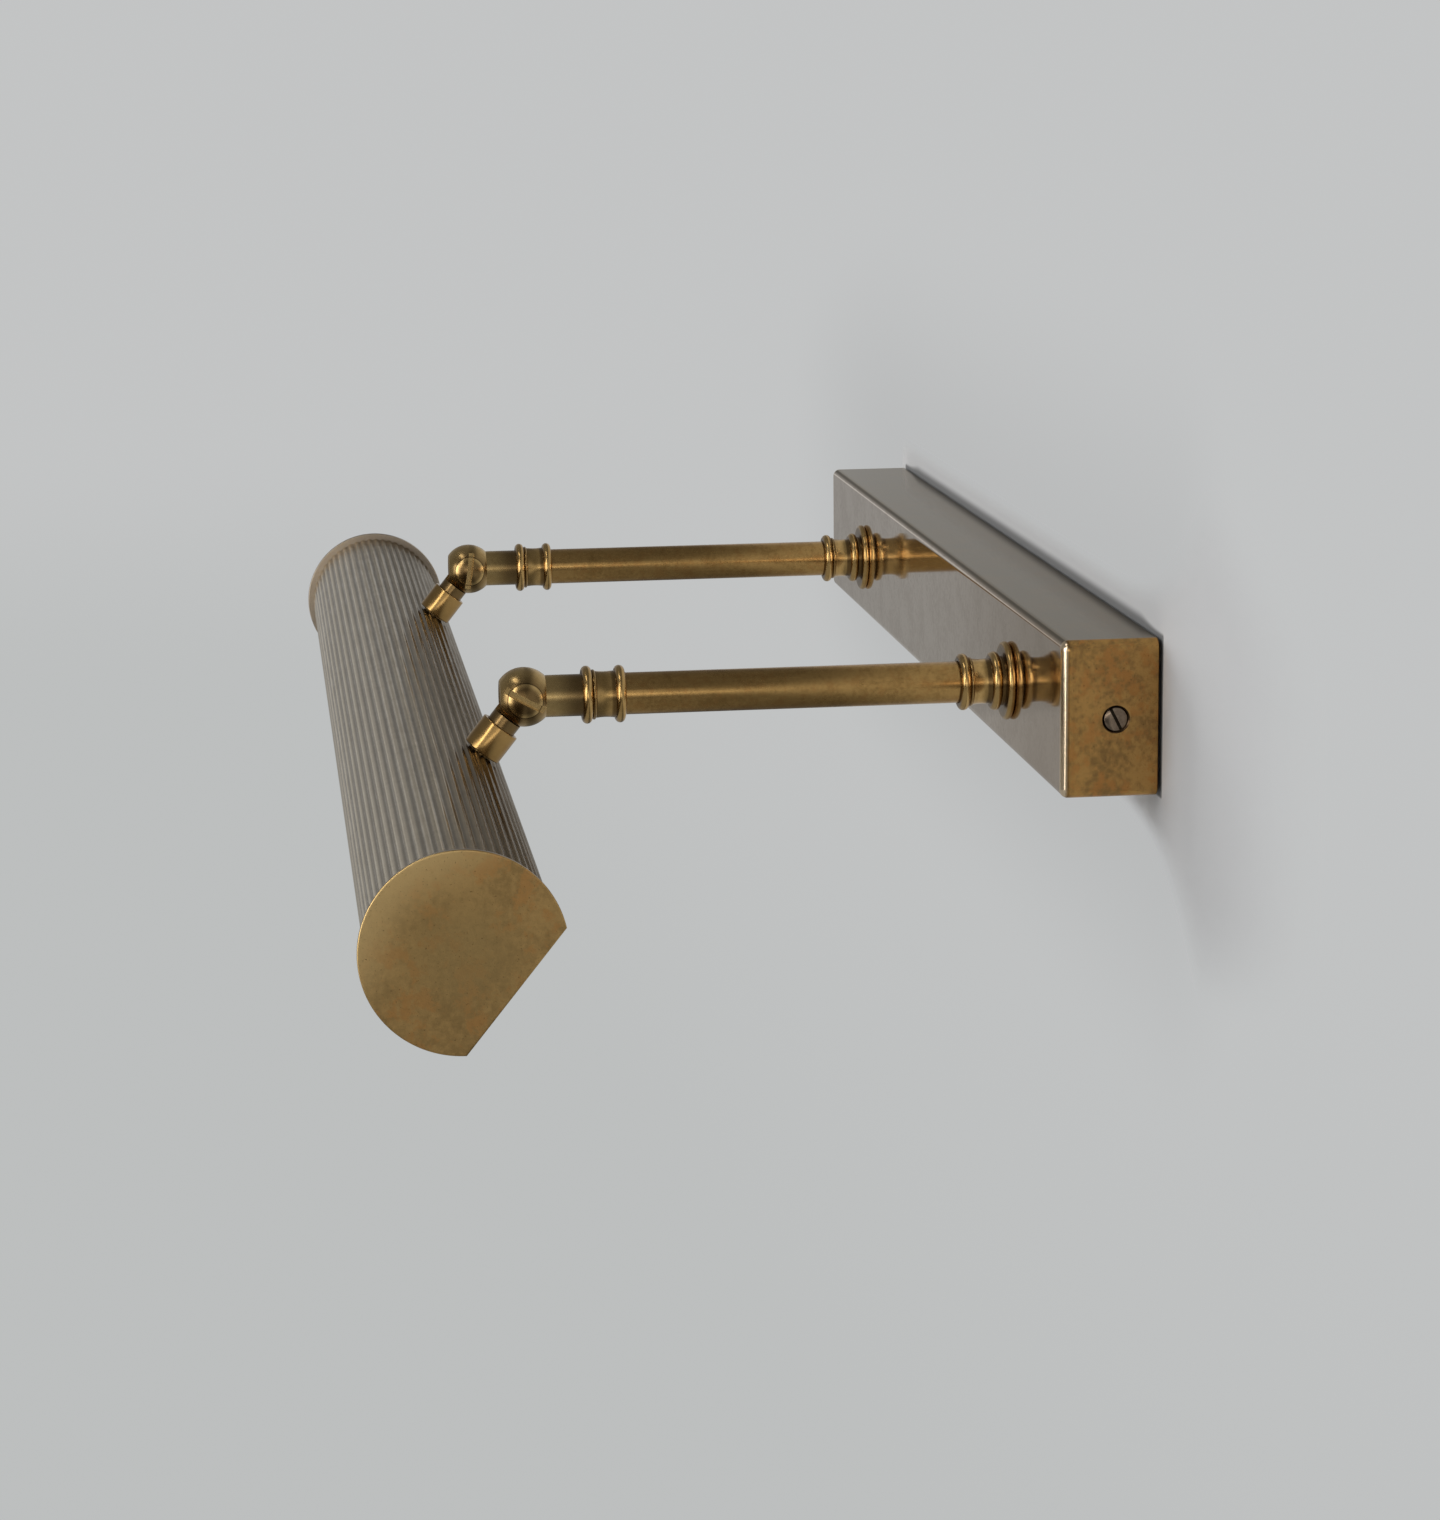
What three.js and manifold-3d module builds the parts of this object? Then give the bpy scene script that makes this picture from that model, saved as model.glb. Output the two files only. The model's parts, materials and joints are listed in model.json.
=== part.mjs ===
// Picture light on two swivel arms: a folded wall box, two turned arms with ball knuckles
// and a reeded tube shade with two tubular lamps.
// Millimetres, +Z up. The origin is the middle of the wall face. +X runs along the light,
// the wall is the plane Y = 0 and the light reaches out from it towards -Y.
import * as THREE from 'three';
import { mergeVertices } from 'three/addons/utils/BufferGeometryUtils.js';
import Module from 'manifold-3d';

const wasm = await Module();
wasm.setup();

// Fits and cutting
const SEAT_GAP = 0.3;
const OVERRUN = 2;
const WELD = 0.0001;

// Wall box: the folded cover
const BOX_LENGTH = 416;
const BOX_HEIGHT = 46;
const BOX_DEPTH = 29;
const BOX_WALL = 1.5;
const BOX_CORNER_RADIUS = 2.8;
const BOX_FRONT_RADIUS = 2.4;
const BOX_WALL_GAP = 0.6;

// Wall box: bracket, its fixings and what it carries
const BRACKET_HEIGHT = 36;
const BRACKET_THICKNESS = 1.5;
const BRACKET_TAB_REACH = 22;
const BRACKET_BEND_RADIUS = 2.5;
const BRACKET_END_GAP = 0.4;
const WALL_SLOT_X = 95;
const WALL_SLOT_WIDTH = 5.4;
const WALL_SLOT_LENGTH = 14;
const CABLE_HOLE_X = 22;
const CABLE_HOLE_RADIUS = 8;
const GROMMET_BORE_RADIUS = 4.5;
const GROMMET_LIP = 2;
const GROMMET_FLANGE = 2;
const COVER_SCREW_FROM_FRONT = 15.8;
const COVER_SCREW_RADIUS = 2;
const COVER_SCREW_HEAD_RADIUS = 3.4;
const COVER_SCREW_HEAD_CROWN = 0.5;
const COVER_SCREW_SINK_RADIUS = 3.9;
const COVER_SCREW_LENGTH = 12;
const COVER_SCREW_SLOT = 0.9;
const COVER_SCREW_SLOT_DEPTH = 0.8;
const COVER_NUT_FLATS = 7;
const COVER_NUT_THICKNESS = 3;
const TERMINAL_X = 62;
const TERMINAL_LENGTH = 34;
const TERMINAL_HEIGHT = 20;
const TERMINAL_DEPTH = 15;
const TERMINAL_SHOULDER = 5;
const TERMINAL_WAYS = 3;
const TERMINAL_BORE_RADIUS = 1.9;
const TERMINAL_WELL_RADIUS = 2.6;
const TERMINAL_WELL_DEPTH = 6;
const EARTH_X = -45;
const EARTH_STUD_RADIUS = 2;
const EARTH_HEAD_RADIUS = 4.2;
const EARTH_HEAD_HEIGHT = 3.2;
const EARTH_WASHER_RADIUS = 5.5;
const EARTH_WASHER_THICKNESS = 0.9;

// Arms
const ARM_FROM_BOX_END = 75;
const ARM_Z = -1.3;
const ARM_REACH = 148.5;
const TUBE_RADIUS = 6.35;
const TUBE_WALL = 1;
const WIRE_BORE_RADIUS = 2.4;
const NIPPLE_RADIUS = 4;
const NIPPLE_IN_BOX = 10;
const NIPPLE_IN_COLLAR = 7.5;
const NIPPLE_BORE_RADIUS = 2.6;
const LOCK_NUT_FLATS = 14;
const LOCK_NUT_THICKNESS = 3.5;
const LOCK_WASHER_RADIUS = 9;
const LOCK_WASHER_THICKNESS = 1;

// Turned collar where an arm leaves the wall box
const FLANGE_RADIUS = 12;
const FLANGE_HALF_WIDTH = 1.1;
const WALL_BEAD_AT = 4.7;
const WALL_BEAD_RADIUS = 9;
const WALL_COVE_RADIUS = 6.8;
const OUTER_BEAD_AT = 14.4;
const OUTER_BEAD_RADIUS = 8.7;
const BEAD_HALF_WIDTH = 1.5;
const FILLET_RADIUS = 7.6;
const FILLET_HALF_WIDTH = 0.55;
const FILLET_NECK_RADIUS = 7.1;
const TUBE_SEAT = 3.5;

// Turned collar next to the knuckle, measured back from the ball
const NEAR_BEAD_AT = 18.9;
const NEAR_BEAD_RADIUS = 8.75;
const FAR_BEAD_AT = 28.9;
const FAR_BEAD_RADIUS = 8.7;
const KNUCKLE_COVE_RADIUS = 6.9;
const SPIGOT_RADIUS = 5;
const SPIGOT_LENGTH = 8;

// Ball knuckle
const BALL_RADIUS = 9;
const BALL_FLAT_AT = 7.3;
const STUB_RADIUS = 4.7;
const CLAMP_HEAD_RADIUS = 5.3;
const CLAMP_HEAD_SEAT = 3.4;
const CLAMP_SHANK_RADIUS = 2;
const CLAMP_SHANK_END = 6.6;
const CLAMP_SLOT_WIDTH = 2;
const CLAMP_SLOT_FLOOR = 6;
const CLAMP_SLOT_ANGLES = { right: THREE.MathUtils.degToRad(-29), left: THREE.MathUtils.degToRad(-98) };
const CHAMBER_RADIUS = 6.2;
const CHAMBER_BOSS_RADIUS = 3.4;
const CHAMBER_DEPTH = 2.2;

// Shade, with its joint at rest
const SHADE_DROP = 46.5;
const SHADE_BEND = THREE.MathUtils.degToRad(51.1);
const SHADE_LENGTH = 600;
const SHADE_RADIUS = 25.4;
const SHADE_WALL = 1;
const REED_COUNT = 42;
const REED_DEPTH = 0.55;
const REED_STEP_SHARES = [0, 0.2, 0.4, 0.6, 0.8];
const MOUTH_FROM_AXIS = 17;
const CAP_RADIUS = 27.5;
const CAP_THICKNESS = 1.5;
const CAP_EDGE = 0.35;
const CAP_MOUTH_FROM_AXIS = 17.4;
const CAP_RIM_WALL = 1;
const CAP_RIM_DEPTH = 4;
const FERRULE_RADIUS = 6.1;
const FERRULE_START = 11.3;
const FERRULE_EDGE = 0.35;
const TAIL_RADIUS = 4;
const TAIL_SHOULDER = 14;
const TAIL_PAST_NUT = 1.5;
const SHADE_NUT_FLATS = 13;
const SHADE_NUT_THICKNESS = 3.2;

// Reflector tray and lamps
const REFLECTOR_FROM_CAP_RIM = 7.5;
const REFLECTOR_WALL = 0.7;
const REFLECTOR_HALF_SWEEP = THREE.MathUtils.degToRad(114);
const LAMP_LIFT = 2;
const LAMP_RADIUS = 12.5;
const LAMP_GLASS_LENGTH = 205;
const LAMP_GLASS_WALL = 1;
const LAMP_NECK_RADIUS = 6.2;
const LAMP_NECK_LENGTH = 7;
const LAMP_SHOULDER = 9;
const LAMP_CAP_RADIUS = 7;
const LAMP_CAP_LENGTH = 17;
const LAMP_CAP_WALL = 0.6;
const LAMP_CONTACT_RADIUS = 2.6;
const LAMP_CONTACT_HEIGHT = 1.6;
const HOLDER_RADIUS = 11.5;
const HOLDER_FLOOR = 5;
const HOLDER_RING_WIDTH = 6;
const HOLDER_RING_STEP = 1;
const HOLDER_FROM_END = 15;
const HOLDER_BRACKET_WIDTH = 12;
const HOLDER_BRACKET_THICKNESS = 1.2;
const HOLDER_BRACKET_FOOT = 22;
const HOLDER_BRACKET_DROP = 27;
const HOLDER_SCREW_RADIUS = 2;
const HOLDER_NIPPLE_RADIUS = 4;

// Smoothness
const ROUND_STEPS = 16;
const SMALL_STEPS = 12;
const LAMP_STEPS = 16;
const BALL_STEPS = 20;
const BALL_RINGS = 12;
const ARC_STEPS = 4;
const FILLET_STEPS = 2;
const BEND_STEPS = 2;
const TRAY_STEPS = 24;
const CAP_STEPS = 32;

// A nut's bore has as many corners as the rod in it
const NUT_BORE = { curveSegments: SMALL_STEPS / 2 };

// Places worked out from the sizes above
const FRONT_FACE = -BOX_DEPTH;
const COVER_INSIDE = FRONT_FACE + BOX_WALL;
const ARM_X = BOX_LENGTH / 2 - ARM_FROM_BOX_END;
const COVER_SCREW_Y = FRONT_FACE + COVER_SCREW_FROM_FRONT;
const BRACKET_FRONT = -BRACKET_THICKNESS;
const BRACKET_LENGTH = BOX_LENGTH - 2 * BOX_WALL - 2 * BRACKET_END_GAP;
const TAB_INSIDE = BRACKET_LENGTH / 2 - BRACKET_THICKNESS;
const COLLAR_LENGTH = OUTER_BEAD_AT + BEAD_HALF_WIDTH;
const TUBE_START = COLLAR_LENGTH - TUBE_SEAT;
const KNUCKLE_COLLAR_START = NEAR_BEAD_AT - BEAD_HALF_WIDTH;
const KNUCKLE_COLLAR_END = FAR_BEAD_AT + BEAD_HALF_WIDTH;
const TUBE_END = ARM_REACH - KNUCKLE_COLLAR_END + TUBE_SEAT;
const TUBE_BORE = TUBE_RADIUS + SEAT_GAP;
const GROOVE_RADIUS = SHADE_RADIUS - REED_DEPTH;
const SHADE_INSIDE = GROOVE_RADIUS - SHADE_WALL;
const REFLECTOR_OUTSIDE = SHADE_INSIDE - SEAT_GAP;
const REFLECTOR_INSIDE = REFLECTOR_OUTSIDE - REFLECTOR_WALL;
const SHADE_TOP = SHADE_DROP - SHADE_RADIUS;
const SHADE_NUT_AT = SHADE_DROP - flatInside(REFLECTOR_INSIDE, SHADE_NUT_FLATS / Math.sqrt(3)) + SEAT_GAP;
const TAIL_END = SHADE_NUT_AT + SHADE_NUT_THICKNESS + TAIL_PAST_NUT;
const CAP_INSIDE = SHADE_LENGTH / 2 - CAP_THICKNESS;
const SHADE_END = CAP_INSIDE - SEAT_GAP;
const REFLECTOR_END = CAP_INSIDE - CAP_RIM_DEPTH - REFLECTOR_FROM_CAP_RIM;
const HOLDER_SEAT = SHADE_END - HOLDER_FROM_END;
const LAMP_CAP_END = HOLDER_SEAT - HOLDER_FLOOR - 2 * SEAT_GAP - LAMP_CONTACT_HEIGHT;
const LAMP_CAP_START = LAMP_CAP_END - LAMP_CAP_LENGTH;
const LAMP_GLASS_START = LAMP_CAP_START + LAMP_NECK_LENGTH - SEAT_GAP;

// Distance from the axis at which a flat piece of this half width fits inside a round wall
function flatInside(radius, halfWidth) {
  return Math.sqrt(radius * radius - halfWidth * halfWidth);
}

// Geometry to solid and back: corners are welded and the poles' empty triangles left out
function solid(geometry) {
  const bare = geometry.clone();
  bare.deleteAttribute('normal');
  bare.deleteAttribute('uv');
  const welded = mergeVertices(bare, WELD);
  const corners = welded.index.array;
  const kept = [];
  for (let i = 0; i < corners.length; i += 3) {
    const [a, b, c] = corners.slice(i, i + 3);
    if (a !== b && b !== c && c !== a) kept.push(a, b, c);
  }
  const vertProperties = new Float32Array(welded.attributes.position.array);
  const triVerts = new Uint32Array(kept);
  return new wasm.Manifold(new wasm.Mesh({ numProp: 3, vertProperties, triVerts }));
}

function geometryOf(body) {
  const mesh = body.getMesh();
  const geometry = new THREE.BufferGeometry();
  geometry.setAttribute('position', new THREE.BufferAttribute(mesh.vertProperties, 3));
  geometry.setIndex(new THREE.BufferAttribute(mesh.triVerts, 1));
  geometry.computeVertexNormals();
  return geometry;
}

// A turned piece round the Y axis: each profile point is [radius, distance out towards -Y]
function turned(profile, steps = ROUND_STEPS) {
  const points = profile.map(([radius, out]) => new THREE.Vector2(radius, -out));
  const area = THREE.ShapeUtils.area(points);
  if (area < 0) points.reverse();
  points.push(points[0].clone());
  return solid(new THREE.LatheGeometry(points, steps));
}

// The same piece turned round the X axis, with its distances out along +X
function turnedAlongX(profile, steps = ROUND_STEPS) {
  return moved(turned(profile, steps), new THREE.Matrix4().makeRotationZ(Math.PI / 2));
}

function moved(body, matrix) {
  return body.transform(matrix.elements);
}

function shifted(body, x, y, z) {
  return moved(body, new THREE.Matrix4().makeTranslation(x, y, z));
}

function disc(radius, start, end) {
  return [[0, start], [radius, start], [radius, end], [0, end]];
}

function ring(bore, radius, start, end) {
  return [[bore, start], [radius, start], [radius, end], [bore, end]];
}

function rod(radius, start, end, steps = SMALL_STEPS) {
  return turned(disc(radius, start, end), steps);
}

function rodAlongX(radius, start, end, steps = SMALL_STEPS) {
  return turnedAlongX(disc(radius, start, end), steps);
}

function rodAlongZ(radius, start, end, steps = SMALL_STEPS) {
  return moved(rod(radius, start, end, steps), new THREE.Matrix4().makeRotationX(-Math.PI / 2));
}

function block(low, high) {
  const [width, depth, height] = high.map((value, i) => value - low[i]);
  const centre = high.map((value, i) => (value + low[i]) / 2);
  return solid(new THREE.BoxGeometry(width, depth, height).translate(...centre));
}

function ball(radius) {
  return solid(new THREE.SphereGeometry(radius, BALL_STEPS, BALL_RINGS).rotateZ(Math.PI / 2));
}

// Extrusions: along X the outline is drawn in (Y, Z), out of the wall in (X, Z), up in (X, Y)
const ALONG_X = new THREE.Matrix4().makeBasis(
  new THREE.Vector3(0, 1, 0), new THREE.Vector3(0, 0, 1), new THREE.Vector3(1, 0, 0));
const ALONG_OUT = new THREE.Matrix4().makeBasis(
  new THREE.Vector3(1, 0, 0), new THREE.Vector3(0, 0, 1), new THREE.Vector3(0, -1, 0));

function extruded(outline, length, options = {}) {
  return new THREE.ExtrudeGeometry(outline, { depth: length, bevelEnabled: false, ...options });
}

function alongX(outline, start, end, options) {
  return solid(extruded(outline, end - start, options).translate(0, 0, start).applyMatrix4(ALONG_X));
}

function outward(outline, start, end, options) {
  return solid(extruded(outline, end - start, options).translate(0, 0, start).applyMatrix4(ALONG_OUT));
}

function upward(outline, start, end, options) {
  return solid(extruded(outline, end - start, options).translate(0, 0, start));
}

function outlineOf(points) {
  return new THREE.Shape(points.map(([a, b]) => new THREE.Vector2(a, b)));
}

function roundedRectangle(width, height, radius) {
  const shape = new THREE.Shape();
  const x = width / 2 - radius;
  const y = height / 2 - radius;
  shape.absarc(x, y, radius, 0, Math.PI / 2);
  shape.absarc(-x, y, radius, Math.PI / 2, Math.PI);
  shape.absarc(-x, -y, radius, Math.PI, 3 * Math.PI / 2);
  shape.absarc(x, -y, radius, 3 * Math.PI / 2, 2 * Math.PI);
  return shape;
}

function hexagon(flats, bore) {
  const corner = flats / Math.sqrt(3);
  const shape = new THREE.Shape();
  for (let i = 0; i < 6; i += 1) {
    const angle = (i * Math.PI) / 3;
    const point = [corner * Math.cos(angle), corner * Math.sin(angle)];
    if (i === 0) shape.moveTo(...point);
    else shape.lineTo(...point);
  }
  shape.closePath();
  shape.holes.push(new THREE.Path().absarc(0, 0, bore, 0, 2 * Math.PI, true));
  return shape;
}

// Turned mouldings: a bead stands out as a half round, a cove dips between two places
function bead(at, radius, halfWidth, steps = ARC_STEPS) {
  return Array.from({ length: steps + 1 }, (_, i) => {
    const angle = Math.PI * (i / steps - 1 / 2);
    return [radius - halfWidth * (1 - Math.cos(angle)), at + halfWidth * Math.sin(angle)];
  });
}

function cove(start, end, edgeRadius, waistRadius) {
  return Array.from({ length: ARC_STEPS + 1 }, (_, i) => {
    const along = i / ARC_STEPS;
    const dip = (edgeRadius - waistRadius) * Math.sin(Math.PI * along);
    return [edgeRadius - dip, start + (end - start) * along];
  });
}

// Finishes
const finishes = {
  agedBrass: { color: 0x7d6238, roughness: 0.42, metalness: 1 },
  polishedBrass: { color: 0x9a7a45, roughness: 0.25, metalness: 1 },
  nickel: { color: 0x9b968c, roughness: 0.35, metalness: 1 },
  zincSteel: { color: 0xa9adb0, roughness: 0.45, metalness: 1 },
  plainBrass: { color: 0xb08d4a, roughness: 0.35, metalness: 1 },
  creamPlastic: { color: 0xe6e1d2, roughness: 0.5, metalness: 0 },
  blackRubber: { color: 0x1d1d1d, roughness: 0.8, metalness: 0 },
  whiteEnamel: { color: 0xf1efe8, roughness: 0.4, metalness: 0 },
  porcelain: { color: 0xf3f0e8, roughness: 0.25, metalness: 0 },
  opalGlass: { color: 0xf7f4ea, roughness: 0.3, metalness: 0 },
};

function piece(name, body, finish) {
  const mesh = new THREE.Mesh(geometryOf(body), new THREE.MeshStandardMaterial(finishes[finish]));
  mesh.name = name;
  return mesh;
}

// Wall box cover: a shell open to the wall, its front edges rounded by the fold
function boxCover() {
  const outline = roundedRectangle(BOX_LENGTH, BOX_HEIGHT, BOX_CORNER_RADIUS);
  const hollowOutline = roundedRectangle(
    BOX_LENGTH - 2 * BOX_WALL, BOX_HEIGHT - 2 * BOX_WALL, BOX_CORNER_RADIUS - BOX_WALL);
  const edge = {
    bevelEnabled: true,
    bevelSize: BOX_FRONT_RADIUS,
    bevelThickness: BOX_FRONT_RADIUS,
    bevelOffset: -BOX_FRONT_RADIUS,
    bevelSegments: BEND_STEPS,
    curveSegments: BEND_STEPS,
  };
  const long = outward(outline, -BOX_DEPTH, BOX_DEPTH - BOX_FRONT_RADIUS, edge);
  const hollow = outward(hollowOutline, -BOX_DEPTH, -COVER_INSIDE, { curveSegments: BEND_STEPS });
  const behind = block(
    [-BOX_LENGTH, -BOX_WALL_GAP, -BOX_HEIGHT], [BOX_LENGTH, BOX_LENGTH, BOX_HEIGHT]);
  let cover = long.subtract(behind).subtract(hollow);
  for (const side of [-1, 1]) {
    const nippleHole = rod(NIPPLE_RADIUS + SEAT_GAP, -COVER_INSIDE - OVERRUN, BOX_DEPTH + OVERRUN);
    cover = cover.subtract(shifted(nippleHole, side * ARM_X, 0, ARM_Z));
    cover = cover.subtract(mirroredTo(side, shifted(coverScrewSink(), 0, COVER_SCREW_Y, 0)));
  }
  return piece('box_cover', cover, 'agedBrass');
}

function mirroredTo(side, body) {
  return side > 0 ? body : moved(body, new THREE.Matrix4().makeRotationY(Math.PI));
}

// Countersunk hole in an end wall of the cover
function coverScrewSink() {
  const outside = BOX_LENGTH / 2;
  const inside = outside - BOX_WALL;
  const bore = COVER_SCREW_RADIUS + SEAT_GAP;
  return turnedAlongX([
    [0, inside - OVERRUN], [bore, inside - OVERRUN], [bore, inside],
    [COVER_SCREW_SINK_RADIUS, outside], [COVER_SCREW_SINK_RADIUS, outside + OVERRUN],
    [0, outside + OVERRUN],
  ], LAMP_STEPS);
}

function coverScrew(name, side) {
  const outside = BOX_LENGTH / 2 - SEAT_GAP;
  const sinkEnd = outside - (COVER_SCREW_HEAD_RADIUS - COVER_SCREW_RADIUS);
  const crown = outside + COVER_SCREW_HEAD_CROWN;
  const screw = turnedAlongX([
    [0, outside - COVER_SCREW_LENGTH], [COVER_SCREW_RADIUS, outside - COVER_SCREW_LENGTH],
    [COVER_SCREW_RADIUS, sinkEnd], [COVER_SCREW_HEAD_RADIUS, outside],
    [COVER_SCREW_HEAD_RADIUS / 2, crown - COVER_SCREW_HEAD_CROWN / 4], [0, crown],
  ]);
  const slot = block(
    [crown - COVER_SCREW_SLOT_DEPTH, -COVER_SCREW_HEAD_RADIUS, -COVER_SCREW_SLOT / 2],
    [crown + OVERRUN, COVER_SCREW_HEAD_RADIUS, COVER_SCREW_SLOT / 2]);
  const slotTurn = new THREE.Matrix4().makeRotationX(CLAMP_SLOT_ANGLES.right);
  const slotted = screw.subtract(moved(slot, slotTurn));
  return piece(name, mirroredTo(side, shifted(slotted, 0, COVER_SCREW_Y, 0)), 'nickel');
}

function coverNut(name, side) {
  const outline = hexagon(COVER_NUT_FLATS, COVER_SCREW_RADIUS + SEAT_GAP);
  const nut = alongX(outline, TAB_INSIDE - COVER_NUT_THICKNESS, TAB_INSIDE, NUT_BORE);
  return piece(name, mirroredTo(side, shifted(nut, 0, COVER_SCREW_Y, 0)), 'zincSteel');
}

// Wall bracket: a folded strip with an end tab for each cover screw
function wallBracket() {
  const half = BRACKET_LENGTH / 2;
  const outside = BRACKET_BEND_RADIUS;
  const inside = BRACKET_BEND_RADIUS - BRACKET_THICKNESS;
  const shape = new THREE.Shape();
  shape.moveTo(-half, -BRACKET_TAB_REACH);
  shape.absarc(-half + outside, -outside, outside, Math.PI, Math.PI / 2, true);
  shape.absarc(half - outside, -outside, outside, Math.PI / 2, 0, true);
  shape.lineTo(half, -BRACKET_TAB_REACH);
  shape.lineTo(TAB_INSIDE, -BRACKET_TAB_REACH);
  shape.absarc(half - outside, -outside, inside, 0, Math.PI / 2);
  shape.absarc(-half + outside, -outside, inside, Math.PI / 2, Math.PI);
  shape.lineTo(-TAB_INSIDE, -BRACKET_TAB_REACH);
  shape.closePath();
  let bracket = upward(shape, -BRACKET_HEIGHT / 2, BRACKET_HEIGHT / 2, { curveSegments: BEND_STEPS });
  const cableHole = rod(CABLE_HOLE_RADIUS, -OVERRUN, BRACKET_THICKNESS + OVERRUN);
  bracket = bracket.subtract(shifted(cableHole, CABLE_HOLE_X, 0, 0));
  const earthHole = rod(EARTH_STUD_RADIUS + SEAT_GAP, -OVERRUN, BRACKET_THICKNESS + OVERRUN);
  bracket = bracket.subtract(shifted(earthHole, EARTH_X, 0, 0));
  const slotOutline = roundedRectangle(WALL_SLOT_LENGTH, WALL_SLOT_WIDTH, WALL_SLOT_WIDTH / 2);
  const slot = outward(slotOutline, -OVERRUN, BRACKET_THICKNESS + OVERRUN, { curveSegments: BEND_STEPS });
  const tabHole = rodAlongX(COVER_SCREW_RADIUS + SEAT_GAP, TAB_INSIDE - OVERRUN, half + OVERRUN);
  for (const side of [-1, 1]) {
    bracket = bracket.subtract(shifted(slot, side * WALL_SLOT_X, 0, 0));
    bracket = bracket.subtract(mirroredTo(side, shifted(tabHole, 0, COVER_SCREW_Y, 0)));
  }
  return piece('wall_bracket', bracket, 'zincSteel');
}

function cableGrommet() {
  const sleeve = CABLE_HOLE_RADIUS - SEAT_GAP;
  const flange = CABLE_HOLE_RADIUS + GROMMET_LIP;
  const grommet = turned([
    [GROMMET_BORE_RADIUS, SEAT_GAP], [sleeve, SEAT_GAP], [sleeve, BRACKET_THICKNESS],
    [flange, BRACKET_THICKNESS], [flange, BRACKET_THICKNESS + GROMMET_FLANGE / 2],
    [flange - GROMMET_FLANGE / 2, BRACKET_THICKNESS + GROMMET_FLANGE],
    [GROMMET_BORE_RADIUS, BRACKET_THICKNESS + GROMMET_FLANGE],
  ], LAMP_STEPS);
  return piece('cable_grommet', shifted(grommet, CABLE_HOLE_X, 0, 0), 'blackRubber');
}

// Terminal block: a stepped bar with a wire bore and a screw well for each way
function terminalBlock() {
  const back = BRACKET_FRONT;
  const front = BRACKET_FRONT - TERMINAL_DEPTH;
  const step = BRACKET_FRONT - TERMINAL_DEPTH / 2;
  const half = TERMINAL_HEIGHT / 2;
  const crest = half - TERMINAL_SHOULDER;
  const outline = outlineOf([
    [back, -half], [back, half], [step, half], [step, crest],
    [front, crest], [front, -crest], [step, -crest], [step, -half],
  ]);
  let bar = alongX(outline, -TERMINAL_LENGTH / 2, TERMINAL_LENGTH / 2);
  const pitch = TERMINAL_LENGTH / TERMINAL_WAYS;
  for (let way = 0; way < TERMINAL_WAYS; way += 1) {
    const x = pitch * (way - (TERMINAL_WAYS - 1) / 2);
    const wireBore = rodAlongZ(TERMINAL_BORE_RADIUS, -half - OVERRUN, half + OVERRUN);
    const well = rod(TERMINAL_WELL_RADIUS, -front - TERMINAL_WELL_DEPTH, -front + OVERRUN);
    bar = bar.subtract(shifted(wireBore, x, (back + step) / 2, 0)).subtract(shifted(well, x, 0, 0));
  }
  return piece('terminal_block', shifted(bar, TERMINAL_X, 0, 0), 'creamPlastic');
}

// Earth screw with its fixed washer, through the bracket
function earthScrew() {
  const washer = BRACKET_THICKNESS + EARTH_WASHER_THICKNESS;
  const head = washer + EARTH_HEAD_HEIGHT;
  const screw = turned([
    [0, SEAT_GAP], [EARTH_STUD_RADIUS, SEAT_GAP], [EARTH_STUD_RADIUS, BRACKET_THICKNESS],
    [EARTH_WASHER_RADIUS, BRACKET_THICKNESS], [EARTH_WASHER_RADIUS, washer],
    [EARTH_HEAD_RADIUS, washer], [EARTH_HEAD_RADIUS, head - EARTH_HEAD_HEIGHT / 4],
    [EARTH_HEAD_RADIUS * 3 / 4, head], [0, head],
  ], SMALL_STEPS);
  const slot = block(
    [-EARTH_HEAD_RADIUS - OVERRUN, -head - OVERRUN, -COVER_SCREW_SLOT / 2],
    [EARTH_HEAD_RADIUS + OVERRUN, -head + EARTH_HEAD_HEIGHT / 2, COVER_SCREW_SLOT / 2]);
  return piece('earth_screw', shifted(screw.subtract(slot), EARTH_X, 0, 0), 'plainBrass');
}

// Threaded nipple, washer and lock nut that hold an arm on the cover
function nipple(name) {
  const body = turned(ring(
    NIPPLE_BORE_RADIUS, NIPPLE_RADIUS, -BOX_WALL - NIPPLE_IN_BOX, NIPPLE_IN_COLLAR), SMALL_STEPS);
  return piece(name, body, 'plainBrass');
}

function lockWasher(name) {
  const inside = -BOX_WALL;
  const profile = ring(NIPPLE_RADIUS + SEAT_GAP, LOCK_WASHER_RADIUS, inside - LOCK_WASHER_THICKNESS, inside);
  return piece(name, turned(profile, LAMP_STEPS), 'zincSteel');
}

function lockNut(name) {
  const face = -BOX_WALL - LOCK_WASHER_THICKNESS;
  const outline = hexagon(LOCK_NUT_FLATS, NIPPLE_RADIUS + SEAT_GAP);
  return piece(name, outward(outline, face - LOCK_NUT_THICKNESS, face, NUT_BORE), 'plainBrass');
}

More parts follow.
